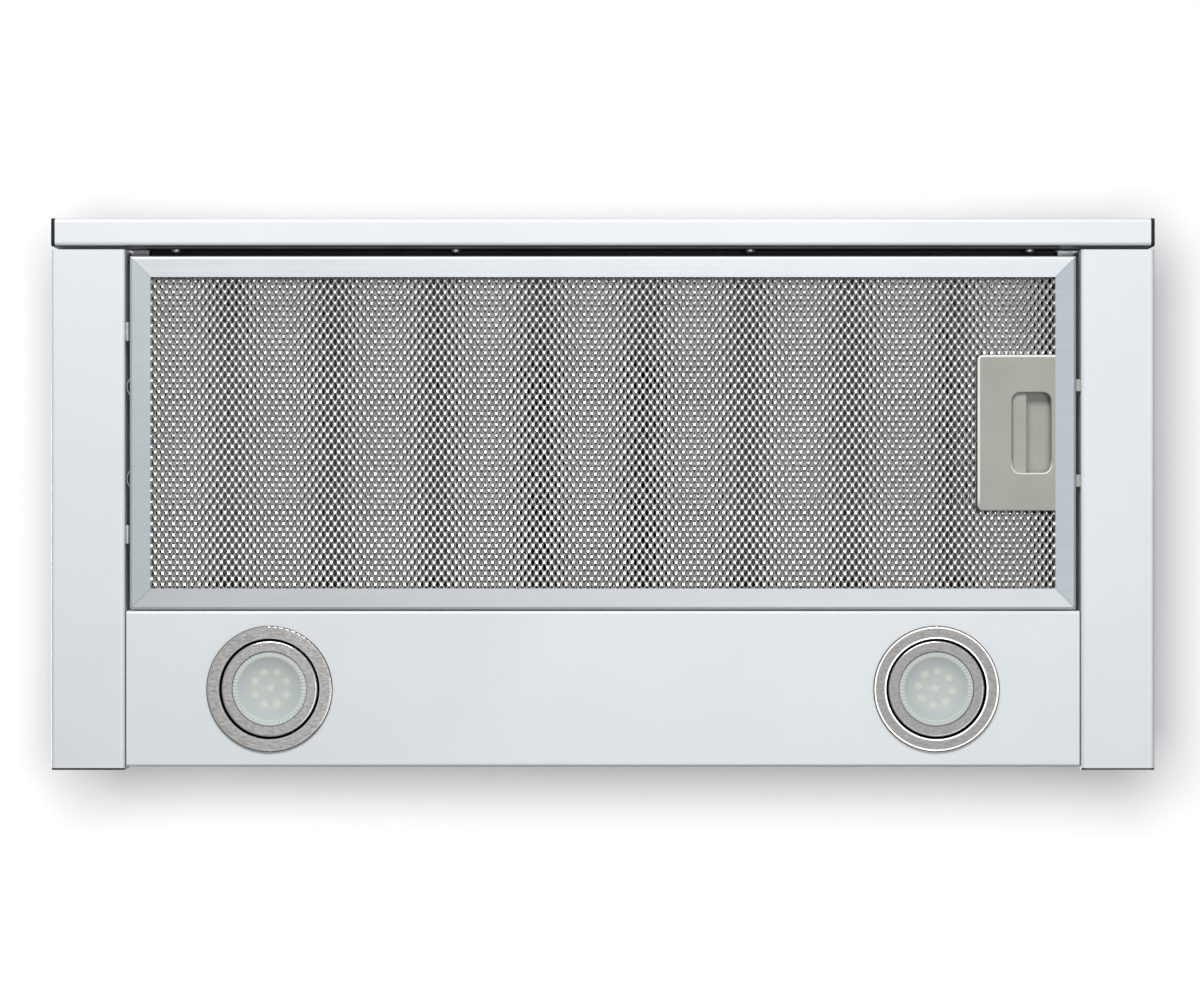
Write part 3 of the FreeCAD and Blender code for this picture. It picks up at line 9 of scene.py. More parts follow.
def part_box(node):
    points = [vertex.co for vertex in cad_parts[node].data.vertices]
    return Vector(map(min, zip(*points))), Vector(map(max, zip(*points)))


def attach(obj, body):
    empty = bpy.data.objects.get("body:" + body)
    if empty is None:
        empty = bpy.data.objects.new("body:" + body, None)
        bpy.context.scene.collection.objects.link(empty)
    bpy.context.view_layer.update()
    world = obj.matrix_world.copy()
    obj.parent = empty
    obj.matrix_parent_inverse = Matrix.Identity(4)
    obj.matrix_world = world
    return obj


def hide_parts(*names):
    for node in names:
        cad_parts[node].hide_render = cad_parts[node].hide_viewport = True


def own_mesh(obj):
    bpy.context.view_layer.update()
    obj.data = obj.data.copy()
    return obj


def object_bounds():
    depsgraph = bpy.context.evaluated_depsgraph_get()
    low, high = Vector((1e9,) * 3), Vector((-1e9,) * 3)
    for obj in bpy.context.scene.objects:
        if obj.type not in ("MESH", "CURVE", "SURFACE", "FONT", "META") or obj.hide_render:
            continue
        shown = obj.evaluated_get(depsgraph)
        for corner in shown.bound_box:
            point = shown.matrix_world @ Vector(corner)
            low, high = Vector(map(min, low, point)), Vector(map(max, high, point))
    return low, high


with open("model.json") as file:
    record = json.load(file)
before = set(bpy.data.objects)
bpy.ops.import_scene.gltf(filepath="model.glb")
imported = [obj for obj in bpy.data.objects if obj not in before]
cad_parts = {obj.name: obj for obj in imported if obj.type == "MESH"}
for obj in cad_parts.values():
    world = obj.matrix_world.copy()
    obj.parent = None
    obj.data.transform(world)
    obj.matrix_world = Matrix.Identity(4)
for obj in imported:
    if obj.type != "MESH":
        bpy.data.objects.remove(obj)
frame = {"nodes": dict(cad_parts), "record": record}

CAD_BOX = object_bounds()
MM = 0.001


# ---- Shader helpers: sockets as numbers, and one method for every node ----
class Value:
    """A shader socket that the usual operators work on."""

    def __init__(self, paint, socket):
        self.paint = paint
        self.socket = socket

    def math(self, operation, *others):
        sockets = {index: other for index, other in enumerate((self,) + others)}
        return self.paint.node("ShaderNodeMath", {"operation": operation}, sockets)

    def __add__(self, other):
        return self.math("ADD", other)

    def __radd__(self, other):
        return self.math("ADD", other)

    def __sub__(self, other):
        return self.math("SUBTRACT", other)

    def __rsub__(self, other):
        return self.paint.node("ShaderNodeMath", {"operation": "SUBTRACT"}, {0: other, 1: self})

    def __mul__(self, other):
        return self.math("MULTIPLY", other)

    def __rmul__(self, other):
        return self.math("MULTIPLY", other)

    def __truediv__(self, other):
        return self.math("DIVIDE", other)

    def __pow__(self, other):
        return self.math("POWER", other)

    def absolute(self):
        return self.math("ABSOLUTE")

    def between(self, low, high):
        """0 below low, 1 above high, smooth between."""
        settings = {"interpolation_type": "SMOOTHSTEP"}
        sockets = {"Value": self, "From Min": low, "From Max": high}
        return self.paint.node("ShaderNodeMapRange", settings, sockets)


class Paint:
    """One material and its nodes."""

    def __init__(self, name, **constants):
        self.material = bpy.data.materials.new(name)
        self.material.use_nodes = True
        self.tree = self.material.node_tree
        self.tree.nodes.clear()
        self.shader = self.tree.nodes.new("ShaderNodeBsdfPrincipled")
        output = self.tree.nodes.new("ShaderNodeOutputMaterial")
        self.tree.links.new(self.shader.outputs[0], output.inputs["Surface"])
        for socket, value in constants.items():
            self.set(socket.replace("_", " "), value)

    def set(self, socket, value):
        """Set or link one socket of the surface shader."""
        self.fill(self.shader.inputs[socket], value)

    def fill(self, target, value):
        if isinstance(value, Value):
            self.tree.links.new(value.socket, target)
        elif isinstance(value, tuple) and len(value) == 3 and target.type == "RGBA":
            target.default_value = value + (1.0,)
        else:
            target.default_value = value

    def node(self, kind, settings=None, sockets=None, output=0):
        """Any node: its type, its settings, and its sockets' values or links."""
        made = self.tree.nodes.new(kind)
        for key, value in (settings or {}).items():
            setattr(made, key, value)
        for key, value in (sockets or {}).items():
            self.fill(made.inputs[key], value)
        return Value(self, made.outputs[output])

    def place(self, scale=(1.0, 1.0, 1.0), turn=(0.0, 0.0, 0.0)):
        """Object coordinates, turned and scaled."""
        where = self.node("ShaderNodeTexCoord", output="Object")
        sockets = {"Vector": where, "Rotation": turn, "Scale": scale}
        return self.node("ShaderNodeMapping", None, sockets)

    def axis(self, where, name):
        return self.node("ShaderNodeSeparateXYZ", None, {"Vector": where}, output=name)

    def rounded(self, where, left, right, length, radius):
        """How far a place is outside a rounded rectangle round the latch's middle; negative inside."""
        half = (right - left) / 2
        across = (self.axis(where, "X") - (left + right) / 2).absolute() - (half - radius)
        back = (self.axis(where, "Y") - LATCH_Y).absolute() - (length / 2 - radius)
        over = across.math("MAXIMUM", 0.0) ** 2.0 + back.math("MAXIMUM", 0.0) ** 2.0
        inner = across.math("MAXIMUM", back).math("MINIMUM", 0.0)
        return over ** 0.5 + inner - radius

    def noise(self, where, scale, detail=3.0, roughness=0.55):
        sockets = {"Vector": where, "Scale": scale, "Detail": detail, "Roughness": roughness}
        return self.node("ShaderNodeTexNoise", None, sockets, output="Fac")

    def mix(self, factor, first, second):
        """Blend two colours."""
        settings = {"data_type": "RGBA"}
        return self.node("ShaderNodeMix", settings, {0: factor, 6: first, 7: second}, output=2)

    def bump(self, height, strength, distance):
        sockets = {"Height": height, "Strength": strength, "Distance": distance}
        self.set("Normal", self.node("ShaderNodeBump", None, sockets))


def shade(red, green, blue):
    """A display colour, each channel 0 to 255, as linear light."""
    channels = []
    for channel in (red, green, blue):
        part = channel / 255
        channels.append(part / 12.92 if part <= 0.04045 else ((part + 0.055) / 1.055) ** 2.4)
    return tuple(channels)


# ---- Finishes ----
def enamelled(name, light, deep, shade_tone, shade_from, shade_below=1.0):
    """Baked enamel: faint orange peel under a clear gloss, and a slow drift of tone.

    Behind a given place along Y, up to a given height, the enamel gives way to one flat dark tone: painted
    shade, standing for the shadow there.
    """
    paint = Paint(name, Coat_Roughness=0.1, Coat_IOR=1.45, Specular_IOR_Level=0.45)
    where = paint.place()
    drift = paint.noise(where, 9.0, 2.0).between(0.3, 0.7)
    color = paint.mix(drift, light, deep)
    in_shade = paint.axis(where, "Y").between(shade_from - 0.1 * MM, shade_from + 0.1 * MM)
    raised = paint.axis(where, "Z").between(shade_below - 0.1 * MM, shade_below + 0.1 * MM)
    # Painted shade: past that place and below that height the colour is the flat dark tone.
    color = paint.mix(in_shade * (1.0 - raised), color, shade_tone)
    paint.set("Base Color", color)
    paint.set("Roughness", 0.26 + 0.12 * paint.noise(where, 70.0, 3.0))
    paint.set("Coat Weight", 0.2 + 0.2 * paint.noise(where, 40.0, 2.0))
    peel = paint.noise(where, 480.0, 2.0, 0.4) + 0.3 * paint.noise(where, 1500.0, 2.0)
    paint.bump(peel, 0.18, 0.1 * MM)
    return paint.material


def galvanised():
    """Zinc-coated sheet: pale spangle in patches a few millimetres wide."""
    paint = Paint("galvanised_sheet", Metallic=0.85, Specular_IOR_Level=0.5)
    where = paint.place()
    crystals = paint.node("ShaderNodeTexVoronoi", None, {"Vector": where, "Scale": 150.0}, output="Color")
    flake = paint.axis(crystals, "X")
    cloud = paint.noise(where, 26.0, 4.0)
    paint.set("Base Color", paint.mix(flake * 0.7 + cloud * 0.3, shade(150, 156, 160), shade(196, 201, 204)))
    paint.set("Roughness", 0.3 + 0.2 * flake + 0.1 * cloud)
    paint.bump(flake + 0.5 * paint.noise(where, 900.0), 0.12, 0.1 * MM)
    return paint.material


def brushed(name, light, deep, turn=(0.0, 0.0, 0.0), metal=0.5, rough=0.34, grain=0.3):
    """Metal with a straight grain along X, or along the turned axis."""
    paint = Paint(name, Metallic=metal)
    fine = paint.noise(paint.place((35.0, 2600.0, 2600.0), turn), 1.0, 3.0, 0.6)
    broad = paint.noise(paint.place((6.0, 420.0, 420.0), turn), 1.0, 2.0)
    cloud = paint.noise(paint.place(), 24.0, 3.0)
    tone = (fine * 0.5 + broad * 0.3 + cloud * 0.2).between(0.2, 0.8)
    paint.set("Base Color", paint.mix(tone, deep, light))
    paint.set("Roughness", rough + 0.1 * fine + 0.06 * cloud)
    paint.bump(fine, grain, 0.02 * MM)
    return paint.material


def turned_ring():
    """Brushed steel with its grain round each lamp; pale lines at the turned edges are painted highlights,
    and a dark line round each bezel and the darker right lamp are painted shade.
    """
    paint = Paint("brushed_ring")
    where = paint.place()
    across = paint.axis(where, "X").absolute() - LAMP_X
    back = paint.axis(where, "Y") - LAMP_Y
    reach = (across * across + back * back) ** 0.5
    angle = paint.node("ShaderNodeMath", {"operation": "ARCTAN2"}, {0: back, 1: across})
    height = paint.axis(where, "Z") * 900.0
    sockets = {"X": reach * 1300.0, "Y": angle * 22.0, "Z": height}
    swept = paint.node("ShaderNodeCombineXYZ", None, sockets)
    lines = paint.noise(swept, 1.0, 4.0, 0.7)
    strokes = paint.noise(paint.place((260.0, 2200.0, 2200.0), (0.0, 0.0, 0.35)), 1.0, 3.0, 0.65)
    tone = (lines * 0.4 + strokes * 0.6).between(0.35, 0.65)
    # Painted highlights: pale lines at three turned edges, which also get a smoother finish.
    edges = 0.0
    for edge in (BEZEL_RADIUS - 0.9 * MM, BEZEL_BORE + 0.35 * MM, RING_RADIUS - 0.4 * MM):
        edges = edges + (1.0 - (reach - edge).absolute().between(0.3 * MM, 0.55 * MM))
    face = paint.mix(tone, shade(160, 159, 157), shade(222, 221, 218))
    # Painted shade: the right lamp's face is darkened by half towards a deep grey.
    right = paint.axis(where, "X").between(-0.1, 0.1)
    face = paint.mix(right * 0.5, face, shade(104, 103, 101))
    color = paint.mix(edges, face, shade(240, 237, 232))
    # Painted shade: a dark line just inside each bezel's outer edge, which is also rougher and less
    # metallic.
    outline = reach.between(BEZEL_RADIUS - 0.55 * MM, BEZEL_RADIUS - 0.35 * MM)
    paint.set("Base Color", paint.mix(outline, color, shade(64, 59, 57)))
    paint.set("Metallic", 0.8 - 0.7 * outline)
    paint.set("Roughness", 0.36 + 0.14 * strokes - 0.22 * edges + 0.3 * outline)
    paint.bump(tone * (1.0 - edges), 0.5, 0.05 * MM)
    return paint.material


def moulded(name, light, deep, rough=0.5, texture=1400.0, strength=0.2, gloss=0.0):
    """Moulded plastic: spark-eroded texture and a faint cloud of tone, under some gloss."""
    paint = Paint(name, Specular_IOR_Level=0.45, Coat_Weight=gloss, Coat_Roughness=0.14)
    where = paint.place()
    cloud = paint.noise(where, 34.0, 3.0).between(0.3, 0.7)
    pits = paint.noise(where, texture, 3.0, 0.6)
    paint.set("Base Color", paint.mix(cloud * 0.75 + pits * 0.25, light, deep))
    paint.set("Roughness", rough + 0.12 * pits)
    paint.bump(pits, strength, 0.08 * MM)
    return paint.material


def cast_metal(name, light, deep, metal, rough):
    """Steel with a fine crystalline grain and darker patches."""
    paint = Paint(name, Metallic=metal)
    where = paint.place()
    cloud = paint.noise(where, 60.0, 4.0).between(0.3, 0.7)
    grain = paint.noise(where, 1900.0, 2.0)
    paint.set("Base Color", paint.mix(cloud * 0.7 + grain * 0.3, light, deep))
    paint.set("Roughness", rough + 0.15 * grain)
    paint.bump(grain, 0.25, 0.05 * MM)
    return paint.material


def strand_foil(name, deep, light, metal, rough, bonds=None):
    """Expanded aluminium foil: a soft cloud of tone, and fine scuffs on every strand.

    The foil whose bonds are given is rolled smooth on each of them and rougher between, where a flat,
    slightly darker tone is painted shade that leaves the bonds standing out as highlights.
    """
    paint = Paint(name, Metallic=metal)
    where = paint.place()
    cloud = paint.noise(where, 12.0, 3.0).between(0.35, 0.65)
    scuff = paint.noise(where, 1300.0, 2.0)
    color = paint.mix(cloud * 0.35 + scuff * 0.65, deep, light)
    polish = rough + 0.14 * scuff
    if bonds is not None:
        near = None
        for half in (0.0, 0.5):
            across = paint.axis(where, "X") - (bonds.first_x + half * bonds.pitch)
            back = paint.axis(where, "Y") - (bonds.first_y + 2 * half * bonds.row_pitch)
            across = across.math("WRAP", bonds.pitch / 2, -bonds.pitch / 2)
            back = back.math("WRAP", bonds.row_pitch, -bonds.row_pitch)
            reach = (across * across + back * back) ** 0.5
            near = reach if near is None else near.math("MINIMUM", reach)
        # Painted shade: away from the bonds the tone is a flat, slightly darker grey, and the finish is
        # rougher.
        dull_and_shaded = near.between(0.6 * MM, 0.95 * MM)
        color = paint.mix(dull_and_shaded, color, shade(206, 206, 204))
        polish = polish + 0.27 * dull_and_shaded
    paint.set("Base Color", color)
    paint.set("Roughness", polish)
    paint.bump(scuff, 0.3, 0.05 * MM)
    return paint.material


def latch_face():
    """The latch's face: smooth moulded plastic; a pale line along its edges is a painted highlight, and the
    pocket rim has a painted highlight at the rear and painted shade elsewhere.
    """
    paint = Paint("latch_face", Specular_IOR_Level=0.45, Coat_Weight=0.4, Coat_Roughness=0.2)
    where = paint.place()
    cloud = paint.noise(where, 34.0, 3.0).between(0.3, 0.7)
    pits = paint.noise(where, 1400.0, 3.0, 0.6)
    color = paint.mix(cloud * 0.75 + pits * 0.25, shade(166, 168, 158), shade(157, 159, 149))
    height = paint.axis(where, "Z").between(LATCH_LOW.z + 1.2 * MM, LATCH_LOW.z + 1.4 * MM)
    face = 1.0 - height
    back = paint.axis(where, "Y")
    outline = paint.rounded(where, LATCH_LOW.x, LATCH_HIGH.x + HIDDEN_SIDE, LATCH_LENGTH, LATCH_CORNER)
    edge = outline.between(-1.5 * MM, -1.1 * MM) * (1.0 - outline.between(-0.3 * MM, 0.0))
    rear = back.between(LATCH_HIGH.y - 8 * MM, LATCH_HIGH.y - 1 * MM)
    pocket = paint.rounded(where, POCKET_LEFT, POCKET_RIGHT, POCKET_LENGTH, POCKET_CORNER)
    rim = 1.0 - pocket.absolute().between(0.6 * MM, 0.9 * MM)
    behind = back.between(LATCH_Y + 0.3 * POCKET_LENGTH, LATCH_Y + 0.44 * POCKET_LENGTH)
    # Painted highlight: a pale line along the plate's front and left edges, on its lower face only.
    color = paint.mix(edge * (1.0 - rear) * face, color, shade(236, 236, 228))
    # Painted highlight on the rear end of the pocket's rim, painted shade on the rest of it.
    color = paint.mix(rim * behind * face, color, shade(228, 228, 220))
    color = paint.mix(rim * (1.0 - behind) * face, color, shade(128, 130, 122))
    paint.set("Base Color", color)
    paint.set("Roughness", 0.4 + 0.12 * pits)
    paint.bump(pits, 0.2, 0.08 * MM)
    return paint.material


def frosted():
    """Frosted glass: clear enough to show the light sources, whiter round the ribbed rim."""
    paint = Paint("frosted_glass", Specular_IOR_Level=0.5, Coat_Weight=0.3, Coat_Roughness=0.08)
    where = paint.place()
    across = paint.axis(where, "X").absolute() - LAMP_X
    back = paint.axis(where, "Y") - LAMP_Y
    reach = (across * across + back * back) ** 0.5
    rim = reach.between(16.6 * MM, 18.2 * MM)
    frost = paint.noise(where, 2200.0, 2.0)
    paint.set("Base Color", paint.mix(rim, shade(222, 230, 229), shade(212, 219, 213)))
    paint.set("Roughness", 0.38 + 0.14 * frost)
    paint.set("Alpha", 0.5 + 0.38 * rim + 0.06 * frost)
    paint.bump(frost, 0.25, 0.05 * MM)
    return paint.material


def phosphor():
    """Pale yellow light sources, softly mottled."""
    paint = Paint("led_phosphor", Roughness=0.4, Emission_Strength=0.5)
    where = paint.place()
    grains = paint.noise(where, 2600.0, 2.0)
    color = paint.mix(grains, shade(238, 218, 142), shade(248, 234, 176))
    paint.set("Base Color", color)
    paint.set("Emission Color", color)
    paint.bump(grains, 0.2, 0.05 * MM)
    return paint.material


def circuit_board():
    """White lamp board with faint tracks under its mask."""
    paint = Paint("lamp_board", Roughness=0.42)
    where = paint.place()
    cells = {"Vector": where, "Scale": 260.0, "Randomness": 0.6}
    tracks = paint.node("ShaderNodeTexVoronoi", {"feature": "DISTANCE_TO_EDGE"}, cells, output="Distance")
    line = tracks.between(0.04, 0.1)
    paint.set("Base Color", paint.mix(line, shade(188, 200, 202), shade(214, 222, 224)))
    paint.bump(line, 0.3, 0.05 * MM)
    return paint.material


# ---- Places that the pieces are made to, read from the frame ----
RING_LOW, RING_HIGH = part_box("lamp_ring_right")
RING_RADIUS = (RING_HIGH.x - RING_LOW.x) / 2
LAMP_X = (RING_LOW.x + RING_HIGH.x) / 2
LAMP_Y = (RING_LOW.y + RING_HIGH.y) / 2
BEZEL_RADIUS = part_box("lamp_bezels")[1].x - LAMP_X
BEZEL_BORE = BEZEL_RADIUS - 6.9 * MM
LENS_LOW, LENS_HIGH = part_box("lamp_lens_right")
BOARD_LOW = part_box("lamp_module_right")[0].z
MESH_LOW, MESH_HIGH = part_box("filter_mesh")
SLIDE_LOW, SLIDE_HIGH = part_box("slide_filter_mesh")
LATCH_LOW, LATCH_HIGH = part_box("latch_plate")
LATCH_Y = (LATCH_LOW.y + LATCH_HIGH.y) / 2
LATCH_LENGTH = LATCH_HIGH.y - LATCH_LOW.y
LATCH_CORNER = 3.0 * MM
POCKET_RIGHT = LATCH_HIGH.x - 2.6 * MM
POCKET_LEFT = POCKET_RIGHT - 20.7 * MM
POCKET_LENGTH = 43.5 * MM
POCKET_CORNER = 4.2 * MM
HIDDEN_SIDE = 20 * MM          # the latch's right edge has no outline: it is under the filter's bar
RAIL_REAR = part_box("side_rail_left")[1].y
FASCIA_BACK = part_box("fascia")[1].y
FOIL_EDGE = 0.1 * MM


# ---- Mesh helpers ----
def finished(bm, name, material, body, replaced=()):
    """Turn a bmesh into a piece of the model."""
    mesh = bpy.data.meshes.new(name)
    bm.to_mesh(mesh)
    bm.free()
    mesh.materials.append(material)
    piece = bpy.data.objects.new(name, mesh)
    bpy.context.scene.collection.objects.link(piece)
    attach(piece, body)
    if replaced:
        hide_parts(*replaced)
    return piece


def copied(bm, geometry, offset):
    """A copy of some geometry, moved."""
    made = bmesh.ops.duplicate(bm, geom=geometry)["geom"]
    moved = [item for item in made if isinstance(item, bmesh.types.BMVert)]
    bmesh.ops.translate(bm, verts=moved, vec=offset)
    return made


def spun(bm, profile, center, steps):
    """Spin a profile of (radius, height) points into a closed turned shape."""
    verts = [bm.verts.new((center[0] + radius, center[1], height)) for radius, height in profile]
    edges = [bm.edges.new(pair) for pair in zip(verts, verts[1:])]
    bmesh.ops.spin(
        bm, geom=verts + edges, cent=(center[0], center[1], 0), axis=(0, 0, 1),
        angle=math.tau, steps=steps, use_merge=True,
    )
    bmesh.ops.remove_doubles(bm, verts=bm.verts, dist=0.01 * MM)
    bmesh.ops.recalc_face_normals(bm, faces=bm.faces)


# ---- Expanded aluminium mesh ----
class Foil:
    """One layer of expanded mesh: strands that zigzag along X and meet at their bonds."""

    def __init__(self, pitch, row_pitch, width, thickness, tilt, z, bond=0.22):
        self.pitch = pitch
        self.row_pitch = row_pitch
        self.width = width
        self.thickness = thickness
        self.tilt = tilt
        self.z = z
        self.bond = bond
        self.first_x = MESH_LOW.x + FOIL_EDGE + bond * pitch / 2
        self.first_y = (MESH_LOW.y + MESH_HIGH.y) / 2 - row_pitch / 2

    def strand(self, x_start, x_end, late):
        """One strand from x_start to x_end; a late one starts half a period on."""
        bm = bmesh.new()
        bmesh.ops.create_circle(bm, segments=4, radius=1.0)
        bmesh.ops.rotate(bm, verts=bm.verts, matrix=Matrix.Rotation(math.pi / 4, 3, "Z"))
        half = math.sqrt(0.5)
        bmesh.ops.scale(bm, verts=bm.verts, vec=(self.width / 2 / half, self.thickness / 2 / half, 1))
        upright = Matrix(((0, 0, 1), (1, 0, 0), (0, 1, 0)))
        lean = Matrix.Rotation(self.tilt, 3, "X")
        bmesh.ops.rotate(bm, verts=bm.verts, matrix=lean @ upright)
        begin = x_start - self.pitch * (1.5 if late else 1.0)
        bmesh.ops.translate(bm, verts=bm.verts, vec=(begin, -self.row_pitch / 2, self.z))
        flat = self.bond * self.pitch
        rise = self.pitch / 2 - flat
        steps = [(flat, 0), (rise, self.row_pitch), (flat, 0), (rise, -self.row_pitch)]
        front = list(bm.edges)
        for along, across in steps:
            made = bmesh.ops.extrude_edge_only(bm, edges=front)["geom"]
            moved = [item for item in made if isinstance(item, bmesh.types.BMVert)]
            bmesh.ops.translate(bm, verts=moved, vec=(along, across, 0))
            front = [edge for edge in made if isinstance(edge, bmesh.types.BMEdge)
                     and all(vert in moved for vert in edge.verts)]
        period = bm.verts[:] + bm.edges[:] + bm.faces[:]
        count = math.ceil((x_end - begin) / self.pitch)
        for index in range(1, count):
            copied(bm, period, (index * self.pitch, 0, 0))
        bmesh.ops.remove_doubles(bm, verts=bm.verts, dist=0.01 * MM)
        for x, side in ((x_start, -1), (x_end, 1)):
            bmesh.ops.bisect_plane(
                bm, geom=bm.verts[:] + bm.edges[:] + bm.faces[:],
                plane_co=(x, 0, 0), plane_no=(side, 0, 0), clear_outer=True,
            )
        bmesh.ops.holes_fill(bm, edges=[edge for edge in bm.edges if edge.is_boundary])
        bmesh.ops.recalc_face_normals(bm, faces=bm.faces)
        return bm

    def rows(self, target, x_start, x_end, numbers, y_middle):
        """Lay strands at the numbered rows either side of y_middle into target."""
        for late in (False, True):
            places = [number for number in numbers if (number % 2 == 1) == late]
            if not places:
                continue
            row = self.strand(x_start, x_end, late)
            first = row.verts[:] + row.edges[:] + row.faces[:]
            for number in places[1:]:
                copied(row, first, (0, (number - places[0]) * self.row_pitch, 0))
            bmesh.ops.translate(row, verts=row.verts, vec=(0, y_middle + places[0] * self.row_pitch, 0))
            mesh = bpy.data.meshes.new("strands")
            row.to_mesh(mesh)
            row.free()
            target.from_mesh(mesh)
            bpy.data.meshes.remove(mesh)


def filter_foil(foil, numbers):
    """Rows of a foil across the grease filter, stopping at the latch."""
    x_start = MESH_LOW.x + FOIL_EDGE
    y_middle = (MESH_LOW.y + MESH_HIGH.y) / 2
    reach = LATCH_LENGTH / 2 + foil.row_pitch / 3
    short = []
    for number in numbers:
        if abs(y_middle + number * foil.row_pitch - LATCH_Y) < reach:
            short.append(number)
    full = [number for number in numbers if number not in short]
    bm = bmesh.new()
    foil.rows(bm, x_start, MESH_HIGH.x - FOIL_EDGE, full, y_middle)
    foil.rows(bm, x_start, LATCH_LOW.x - 0.5 * MM, short, y_middle)
    return bm


# ---- Lamp pieces ----
def make_lens(side, body, name, material):
    """Frosted lens: a shallow dished window, then a raised rim cut with small flutes."""
    low = LENS_LOW.z
    outer = (LENS_HIGH.x - LENS_LOW.x) / 2
    profile = [
        (0, low + 1.5 * MM),
        (0.3 * outer, low + 1.4 * MM),
        (0.55 * outer, low + 1.1 * MM),
        (outer - 4.6 * MM, low + 0.6 * MM),
        (outer - 3.0 * MM, low + 0.2 * MM),
        (outer - 2.5 * MM, low),
        (outer - 0.4 * MM, low),
        (outer, low + 0.4 * MM),
        (outer, LENS_HIGH.z),
        (0, LENS_HIGH.z),
    ]
    bm = bmesh.new()
    center = (side * LAMP_X, LAMP_Y)
    spun(bm, profile, center, FLUTES * 2)
    valleys = []
    for vert in bm.verts:
        turn = math.atan2(vert.co.y - center[1], vert.co.x - center[0]) / math.tau
        if vert.co.z < low + 0.1 * MM and round(turn * FLUTES * 2) % 2:
            valleys.append(vert)
    bmesh.ops.translate(bm, verts=valleys, vec=(0, 0, FLUTE_DEPTH))
    for face in bm.faces:
        face.smooth = (face.calc_center_median().xy - Vector(center)).length < outer - 3.0 * MM
    return finished(bm, name, material, body, ["lamp_lens_" + body[:-5]])


def make_sources(side, body, clocking, material):
    """Nine domed light sources on the lamp's board: eight in a ring and one in the middle."""
    board = BOARD_LOW + LED_HEIGHT
    radius = LED_RADIUS
    profile = [
        (0, board - 1.8 * MM),
        (0.55 * radius, board - 1.7 * MM),
        (0.88 * radius, board - 1.45 * MM),
        (radius, board - 1.1 * MM),
        (radius, board),
    ]
    bm = bmesh.new()
    places = [(0.0, 0.0)]
    for index in range(LED_COUNT):
        angle = clocking + index * math.tau / LED_COUNT
        places.append((LED_CIRCLE * math.cos(angle), LED_CIRCLE * math.sin(angle)))
    for across, back in places:
        spun(bm, profile, (side * LAMP_X + across, LAMP_Y + back), 16)
    bmesh.ops.holes_fill(bm, edges=[edge for edge in bm.edges if edge.is_boundary])
    bmesh.ops.recalc_face_normals(bm, faces=bm.faces)
    for face in bm.faces:
        face.smooth = True
    return finished(bm, "led_domes_" + body[:-5], material, body)


def make_latch_springs():
    """Two bowed leaf springs by the latch's wall, made in their bowed shape only; the real ones flatten
    against the wall as the slider is drawn.
    """
    low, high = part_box("latch_springs")
    bow = high.x - low.x - LEAF
    bm = bmesh.new()
    for side in (-1, 1):
        middle = (low.y + high.y) / 2 + side * ((high.y - low.y) / 2 - LEAF_SPAN / 2)
        pairs = []
        for step in range(LEAF_STEPS + 1):
            share = 2 * step / LEAF_STEPS - 1
            x = low.x + bow * (1 - share * share)
            outer = bm.verts.new((x + LEAF, middle + share * LEAF_SPAN / 2, low.z))
            inner = bm.verts.new((x, middle + share * (LEAF_SPAN / 2 - LEAF), low.z))
            pairs.append((outer, inner))
        for first, second in zip(pairs, pairs[1:]):
            bm.faces.new((first[0], second[0], second[1], first[1]))
    made = bmesh.ops.extrude_face_region(bm, geom=bm.faces[:])["geom"]
    raised = [item for item in made if isinstance(item, bmesh.types.BMVert)]
    bmesh.ops.translate(bm, verts=raised, vec=(0, 0, high.z - low.z))
    bmesh.ops.recalc_face_normals(bm, faces=bm.faces)
    leaves = finished(bm, "bowed_springs", FINISHES["zinc_steel"], "filter",
                      ["latch_springs"])
    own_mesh(leaves)


LEAF = 0.4 * MM
LEAF_SPAN = 22.0 * MM
LEAF_STEPS = 16

FLUTES = 60
FLUTE_DEPTH = 0.2 * MM
LED_COUNT = 8
LED_CIRCLE = 9.4 * MM
LED_RADIUS = 1.95 * MM
LED_HEIGHT = 1.2 * MM

mesh_z = (MESH_LOW.z + MESH_HIGH.z) / 2
face_foil = Foil(3.993 * MM, 3.0 * MM, 1.6 * MM, 0.3 * MM, math.radians(-24), mesh_z, 0.17)
back_foil = Foil(4.3 * MM, 3.0 * MM, 2.8 * MM, 0.3 * MM, math.radians(16), mesh_z + 1.5 * MM)

